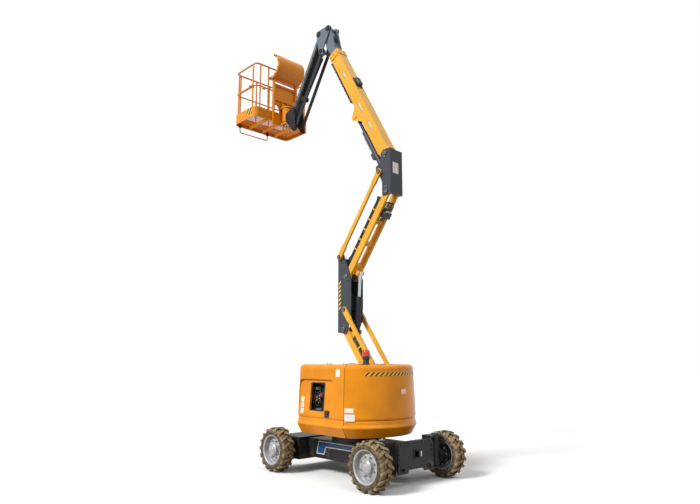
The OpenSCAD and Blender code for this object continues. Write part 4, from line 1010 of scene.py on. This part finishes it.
def dress_boom(sizes):
    """Wear pads, collar bolts, hose guide, belly hoses and cylinder fittings of the boom."""
    boom = Member(PIVOT["boom_lift"], SLIDE["telescope"])
    pads, bolts, collar, guide = shapes(4)
    pad_n, collar_s, guide_s = -53, 2635, 1745
    socket_head = [(9, -1), (9, 3), (5, 3), (4, 1), (0, 1)]
    for side in SIDES:
        for low, high in ((620, 820), (1060, 1330), (1950, 2150)):
            pads.block_on(boom, ((low + high) / 2, pad_n, side * 91), (high - low - 8, 12, 42), 3)
            for s in (low + 30, high - 30):
                bolts.turned(boom.at(s, pad_n, side * 96.5), Y * side, socket_head, 12)
        for n in (-130, -50, 30):
            collar.bolt(boom.at(collar_s, n, side * 112), Y * side, 18)
        for y in (-70, 70):
            collar.bolt(boom.at(collar_s, 72 if side > 0 else -172, y), boom.up * side, 18)
    pads.piece("boom_wear_pads", "boom", "pad")
    bolts.piece("boom_bolts", "boom", "zinc")
    collar.piece("boom_collar_bolts", "boom", "boom_yellow")
    guide.block_on(boom, (guide_s, 64, 0), (230, 150, 8), 2)
    guide.block_on(boom, (guide_s, 92, 0), (196, 116, 84), 34)
    for s in (guide_s - 101, guide_s + 101):
        for y in (-56, 56):
            guide.bolt(boom.at(s, 67, y), boom.up, 13)
    guide.piece("boom_hose_guide", "boom", "nylon")
    under = Member(boom.start, boom.along)
    under.up = -boom.up
    radius = sizes.hose / MM / 2
    near, far, clips = 1500, 2500, 4
    blocks, straps = hose_run("boom_belly", "boom", under, (-84, -60, -36), (190,), near, far, radius,
                              clips, slack=-12)
    for k in range(clips + 2):
        s = near - BULKHEAD + (far - near + 2 * BULKHEAD) * k / (clips + 1)
        blocks.block_on(under, (s, 170, -60), (26, 76, 26), 3)
    blocks.piece("boom_belly_bulkheads", "boom", "nylon")
    straps.piece("boom_belly_clips", "boom", "nylon")
    barrel = Member(PIVOT["boom_barrel_turn"], SLIDE["boom_rod_slide"])
    cylinder_pipe("boom_cylinder", "boom_barrel", barrel, 480, 850, 48, -1)
    gland("boom_cylinder", "boom_barrel", barrel, 930, 28, 48)


class LIFT_OT_boom(bpy.types.Operator):
    """Adds pads, bolts, guide, hoses and cylinder fittings of the boom"""

    bl_idname = "lift.boom"
    bl_label = "Boom"

    def execute(self, context):
        dress_boom(context.scene.lift_sizes)
        return {"FINISHED"}


def pivot_cover(shape, at, side, radius, bolts, rise=11):
    """Round cover over a pivot, bolted where there is room for heads."""
    shape.turned(at, Y * side, [(radius, -1), (radius, rise - 3), (radius - 3, rise), (radius * 0.5, rise),
                                (radius * 0.45, rise * 1.36), (0, rise * 1.36)], 36)
    for spoke in spokes(Y, bolts):
        shape.bolt(at + spoke * radius * 0.74 * MM + Y * side * 0.01, Y * side, 13, False)


def dress_jib(sizes):
    """Pivot covers, cover plate, pipe, hoses and clips of head and jib."""
    jib = between("jib_lift", "bracket_level")
    head, bracket, plate, pipe = shapes(4)
    low = PIVOT["bracket_level"]
    drop = PIVOT["jib_link_turn"] - PIVOT["jib_lift"]
    for side in SIDES:
        out = Y * side * HEAD_CHEEK * MM
        for joint, size in (("head_level", 54), ("jib_lift", 58), ("jib_link_turn", 46)):
            pivot_cover(head, PIVOT[joint] + out, side, size, 6)
        pivot_cover(bracket, low + out, side, 58, 0, 4)
        pivot_cover(bracket, low + drop + out, side, 46, 6)
    head.piece("head_pivot_covers", "level_head", "jib_black")
    bracket.piece("bracket_pivot_covers", "jib_bracket", "jib_black")
    middle, length = 780, 1380
    plate.block_on(jib, (middle, 72.5, 0), (length, 132, 5), 1.5)
    for side in SIDES:
        plate.block_on(jib, (middle, 41, side * 63.5), (length, 5, 62), 1.5)
        for k in range(-2, 3):
            plate.bolt(jib.at(middle + 330 * k, 28, side * 65.5), Y * side, sizes.small_bolt / MM, False)
    plate.piece("jib_cover_plate", "jib", "blue_grey")
    radius = sizes.hose / MM / 2 - 1
    near, far, clips, lane = 206, 1344, 4, -72
    blocks, straps = hose_run("jib", "jib", jib, (lane,), (-26, -50), near, far, radius, clips)
    pipe.tube([jib.at(near - 10 + (far - near + 20) * k / 6, -2, lane) for k in range(7)], 7, 10, 1)
    for s, way in ((near - BULKHEAD, 1), (far + BULKHEAD, -1)):
        blocks.block_on(jib, (s, -24, -71), (46, 30, 84), 4)
        blocks.turned(jib.at(s, -2, lane), jib.along * way,
                      [(12, 20), (12, 34), (10, 36), (10, 48), (7, 50)], 6)
    for k in range(1, clips + 1):
        straps.block_on(jib, (near + (far - near) * k / (clips + 1), -24, -70), (24, 26, 74), 4)
    pipe.piece("jib_pipe", "jib", "passivated")
    blocks.piece("jib_bulkheads", "jib", "nylon")
    straps.piece("jib_clips", "jib", "nylon")
    cylinder = Member(PIVOT["jib_lift"] + jib.along * 1.25 - jib.up * 0.128, SLIDE["jib_rod_slide"])
    gland("jib_cylinder", "jib", cylinder, 840, 20, 37)


class LIFT_OT_jib(bpy.types.Operator):
    """Adds pivot covers, plate, pipe and hoses of head and jib"""

    bl_idname = "lift.jib"
    bl_label = "Head and jib"

    def execute(self, context):
        dress_jib(context.scene.lift_sizes)
        return {"FINISHED"}


# Platform

TURN = PIVOT["platform_rotate"]
GUARD_X, GUARD_Z, GUARD_BOLTS = 25, 1095, 243
GRIP = ((30, -4), (30, 4), (26, 8), (28, 12), (20, 16), (22, 20), (14, 24), (16, 28), (8, 32), (8, 62),
        (15, 70), (18, 92), (16, 108), (8, 116), (0, 117))
HOUSING = ((105.3, -92), (108, -90), (108, -74), (106.4, -72), (106.4, 176), (108, 178), (108, 194),
           (105.3, 196))


def deck(x, y, z):
    """Point from millimetres behind the platform's rear face, across, and above its floor."""
    return TURN + Vector((x - 170, y, z)) * MM


def dress_platform():
    """Hazard patches, step clamps, and bolts of guard, entry bar and floor."""
    patch = 190
    for side, end in ((-1, "right"), (1, "left")):
        bars = hazard_strip(lambda s, h, k=side: deck(-108 - patch + s, k * 691, h + 6), patch, 132, 96, 90)
        for shape, tone in zip(bars, ("yellow", "black")):
            shape.piece(f"toe_hazard_{end}_{tone}", "platform", "hazard_" + tone)
    black, bolts, feet = shapes(3)
    step_x = -738
    for y in (-555, 145):
        black.block(deck(step_x, y, -66), Y, Z, (52, 44, 26), 4)
        black.block(deck(step_x, y, -30), Y, Z, (46, 38, 44), 4)
        for k in SIDES:
            bolts.bolt(deck(step_x + 12 * k, y - 14 * k, -79), -Z, 10, False)
    black.piece("step_clamps", "platform", "nylon")
    for side in SIDES:
        for angle in (-96, -58, -22, 14, 48, 66):
            a = math.radians(angle)
            at = deck(GUARD_X + GUARD_BOLTS * math.cos(a), side * 330, GUARD_Z + GUARD_BOLTS * math.sin(a))
            bolts.bolt(at, Y * side, 16)
        for x in (36, 64):
            bolts.bolt(deck(x, side * 288, 824), Y * side, 13, False)
        bolts.bolt(PIVOT["entry_bar_lift"] + Y * side * 0.030, Y * side, 22)
    bolts.piece("platform_bolts", "platform", "nylon")
    for x in (-690, -560, -410, -260):
        for y in (-660, 660):
            feet.bolt(deck(x, y, 0), Z, 13)
    feet.piece("floor_bolts", "platform", "zinc")


def joystick(grip, at, lean):
    """Control lever with a bellows and a grip."""
    grip.turned(at, (Z + lean).normalized(), GRIP, 24)


def dress_console():
    """Control face, levers, switches and the stop knob inside the guard."""
    face, grips, stop, switches, lamps = shapes(5)
    slope = Vector((126, 0, 60)).normalized()
    up = slope.cross(Y)
    centre = deck(87, 20, 1130)
    top = centre + up * 0.009
    face.block(centre + up * 0.004, slope, up, (126, 404, 10), 3)
    for y in (-110, 150):
        joystick(grips, top + slope * 0.012 + Y * y * MM, -X * 0.25)
    switch = [(8, -2), (8, 4), (6, 6), (4, 6), (3, 8), (3.5, 24), (2, 26), (0, 26)]
    for i in range(7):
        at = top + Y * (-60 + 28 * i) * MM
        switches.turned(at - slope * 0.035, up, switch, 12)
        lamps.turned(at + slope * 0.04, up, [(6, -2), (6, 3), (4, 5), (0, 6)], 12)
    stop.turned(top + Y * 0.02, up, [(13, -2), (13, 12), (23, 14), (25, 22), (20, 28), (0, 30)], 28)
    face.piece("console_face", "platform", "nylon")
    grips.piece("console_levers", "platform", "nylon")
    stop.piece("console_stop_knob", "platform", "stop")
    switches.piece("console_switches", "platform", "zinc")
    lamps.piece("console_lamps", "platform", "lens")


def dress_rotator():
    """Motor, housing and end bolts of the platform rotator."""
    motor, housing, bolts, caps = shapes(4)
    base = TURN + Vector((155, 0, -52)) * MM
    motor.turned(base, X, [(46, -2), (46, 12), (40, 16), (38, 60), (34, 66), (0, 66)], 32)
    motor.block(base + X * 0.036 - Y * 0.05, X, Z, (46, 34, 44), 5)
    for spoke in spokes(X, 4, 0.5):
        bolts.bolt(base + spoke * 0.041 + X * 0.012, X, 10, False)
    for z, way in ((-110, -1), (210, 1)):
        for spoke in spokes(Z, 8, 0.5):
            caps.bolt(TURN + Vector((0, 0, z + way * 30.4)) * MM + spoke * 0.084, Z * way, 18)
    housing.turned(TURN, Z, HOUSING, 64)
    housing.piece("rotator_housing", "jib_bracket", "yellow")
    motor.piece("rotator_motor", "jib_bracket", "nylon")
    bolts.piece("rotator_motor_bolts", "jib_bracket", "zinc")
    caps.piece("rotator_bolts", "platform", "jib_black")


class LIFT_OT_platform(bpy.types.Operator):
    """Adds the platform's patches, clamps, bolts, console and rotator motor"""

    bl_idname = "lift.platform"
    bl_label = "Platform"

    def execute(self, context):
        dress_platform()
        dress_console()
        dress_rotator()
        return {"FINISHED"}


# Studio


def seen_plainly(tree):
    """Light path test: one where the camera, a mirror or a glass looks straight at the surface."""
    path = add_node(tree, "ShaderNodeLightPath")
    seen = path.outputs["Is Camera Ray"]
    for ray in ("Is Glossy Ray", "Is Transmission Ray"):
        either = add_node(tree, "ShaderNodeMath", [(0, seen), (1, path.outputs[ray])], operation="MAXIMUM")
        seen = either.outputs["Value"]
    return seen


def floor_material(studio):
    """Matt studio card: pale to the eye, with the dim warm bounce of a dry yard on the undersides."""
    made, tree, shader = start_material("matt studio card", Roughness=0.9)
    mix = add_node(tree, "ShaderNodeMix", [("Factor", seen_plainly(tree))], data_type="RGBA",
                   A=rgba(studio.bounce), B=rgba(studio.floor))
    tree.links.new(shader.inputs["Base Color"], mix.outputs["Result"])
    return made


def add_floor(studio):
    """One wide card under the machine."""
    half = 60.0
    corners = [(-half, -half, 0), (half, -half, 0), (half, half, 0), (-half, half, 0)]
    data = bpy.data.meshes.new("floor")
    data.from_pydata(corners, [], [(0, 1, 2, 3)])
    data.materials.append(floor_material(studio))
    floor = bpy.data.objects.new("floor", data)
    bpy.context.scene.collection.objects.link(floor)


def add_sun(name, towards, strength, softness):
    """A wide soft lamp that shines along a direction."""
    data = bpy.data.lights.new(name, "SUN")
    data.energy = strength
    data.angle = math.radians(softness)
    lamp = bpy.data.objects.new(name, data)
    lamp.rotation_euler = Vector(towards).to_track_quat("-Z", "Y").to_euler()
    bpy.context.scene.collection.objects.link(lamp)


def add_sky(studio):
    """Even soft light; the camera, mirrors and glass see plain white."""
    world = bpy.data.worlds.new("studio")
    world.use_nodes = True
    bpy.context.scene.world = world
    tree = world.node_tree
    soft = tree.nodes["Background"]
    soft.inputs["Color"].default_value = rgba(studio.sky_tone)
    soft.inputs["Strength"].default_value = studio.sky
    white = add_node(tree, "ShaderNodeBackground", Color=(1, 1, 1, 1), Strength=1.0)
    mix = add_node(tree, "ShaderNodeMixShader", [(0, seen_plainly(tree)), (1, soft.outputs["Background"]),
                                                 (2, white.outputs["Background"])])
    tree.links.new(tree.nodes["World Output"].inputs["Surface"], mix.outputs["Shader"])


def add_camera(studio):
    """Camera at the photograph's place and angle."""
    data = bpy.data.cameras.new("camera")
    data.lens = studio.lens
    data.clip_end = 200
    camera = bpy.data.objects.new("camera", data)
    camera.location = studio.camera_at
    camera.rotation_euler = (math.radians(90) + studio.camera_tilt, 0, studio.camera_turn)
    bpy.context.scene.collection.objects.link(camera)
    bpy.context.scene.camera = camera


class LIFT_OT_finish_nodes(bpy.types.Operator):
    """Paints the solids of the frame"""

    bl_idname = "lift.finish_nodes"
    bl_label = "Paint the frame"

    def execute(self, context):
        make_materials()
        finish_nodes()
        return {"FINISHED"}


class LIFT_OT_studio(bpy.types.Operator):
    """Sets up floor, lamps and camera"""

    bl_idname = "lift.studio"
    bl_label = "Studio"

    def execute(self, context):
        studio = context.scene.lift_studio
        add_floor(studio)
        add_sun("key", towards=(0.12, 0.9, -0.75), strength=studio.key, softness=18)
        add_sun("fill", towards=(-0.7, 0.1, -0.75), strength=studio.fill, softness=40)
        add_sky(studio)
        add_camera(studio)
        context.scene.view_settings.view_transform = "Standard"
        return {"FINISHED"}


OPERATORS = (LIFT_OT_finish_nodes, LIFT_OT_wheels, LIFT_OT_chassis, LIFT_OT_turntable, LIFT_OT_risers,
             LIFT_OT_boom, LIFT_OT_jib, LIFT_OT_platform, LIFT_OT_studio)


class LIFT_PT_panel(bpy.types.Panel):
    """Lists the steps that dress the lift"""

    bl_idname = "LIFT_PT_panel"
    bl_label = "Boom lift"
    bl_space_type = "VIEW_3D"
    bl_region_type = "UI"
    bl_category = "Boom lift"

    def draw(self, context):
        for operator in OPERATORS:
            self.layout.operator(operator.bl_idname)


GROUPS = (LiftColours, LiftSizes, LiftStudio)


def register():
    """Registers the classes and the scene's property groups."""
    for made in (*GROUPS, *OPERATORS, LIFT_PT_panel):
        bpy.utils.register_class(made)
    bpy.types.Scene.lift_colours = bpy.props.PointerProperty(type=LiftColours)
    bpy.types.Scene.lift_sizes = bpy.props.PointerProperty(type=LiftSizes)
    bpy.types.Scene.lift_studio = bpy.props.PointerProperty(type=LiftStudio)


def unregister():
    """Takes the classes and property groups away again."""
    del bpy.types.Scene.lift_studio
    del bpy.types.Scene.lift_sizes
    del bpy.types.Scene.lift_colours
    for made in (LIFT_PT_panel, *reversed(OPERATORS), *reversed(GROUPS)):
        bpy.utils.unregister_class(made)


def main():
    """Builds the whole scene."""
    register()
    for operator in OPERATORS:
        group, name = operator.bl_idname.split(".")
        getattr(getattr(bpy.ops, group), name)()


if __name__ == "__main__":
    main()
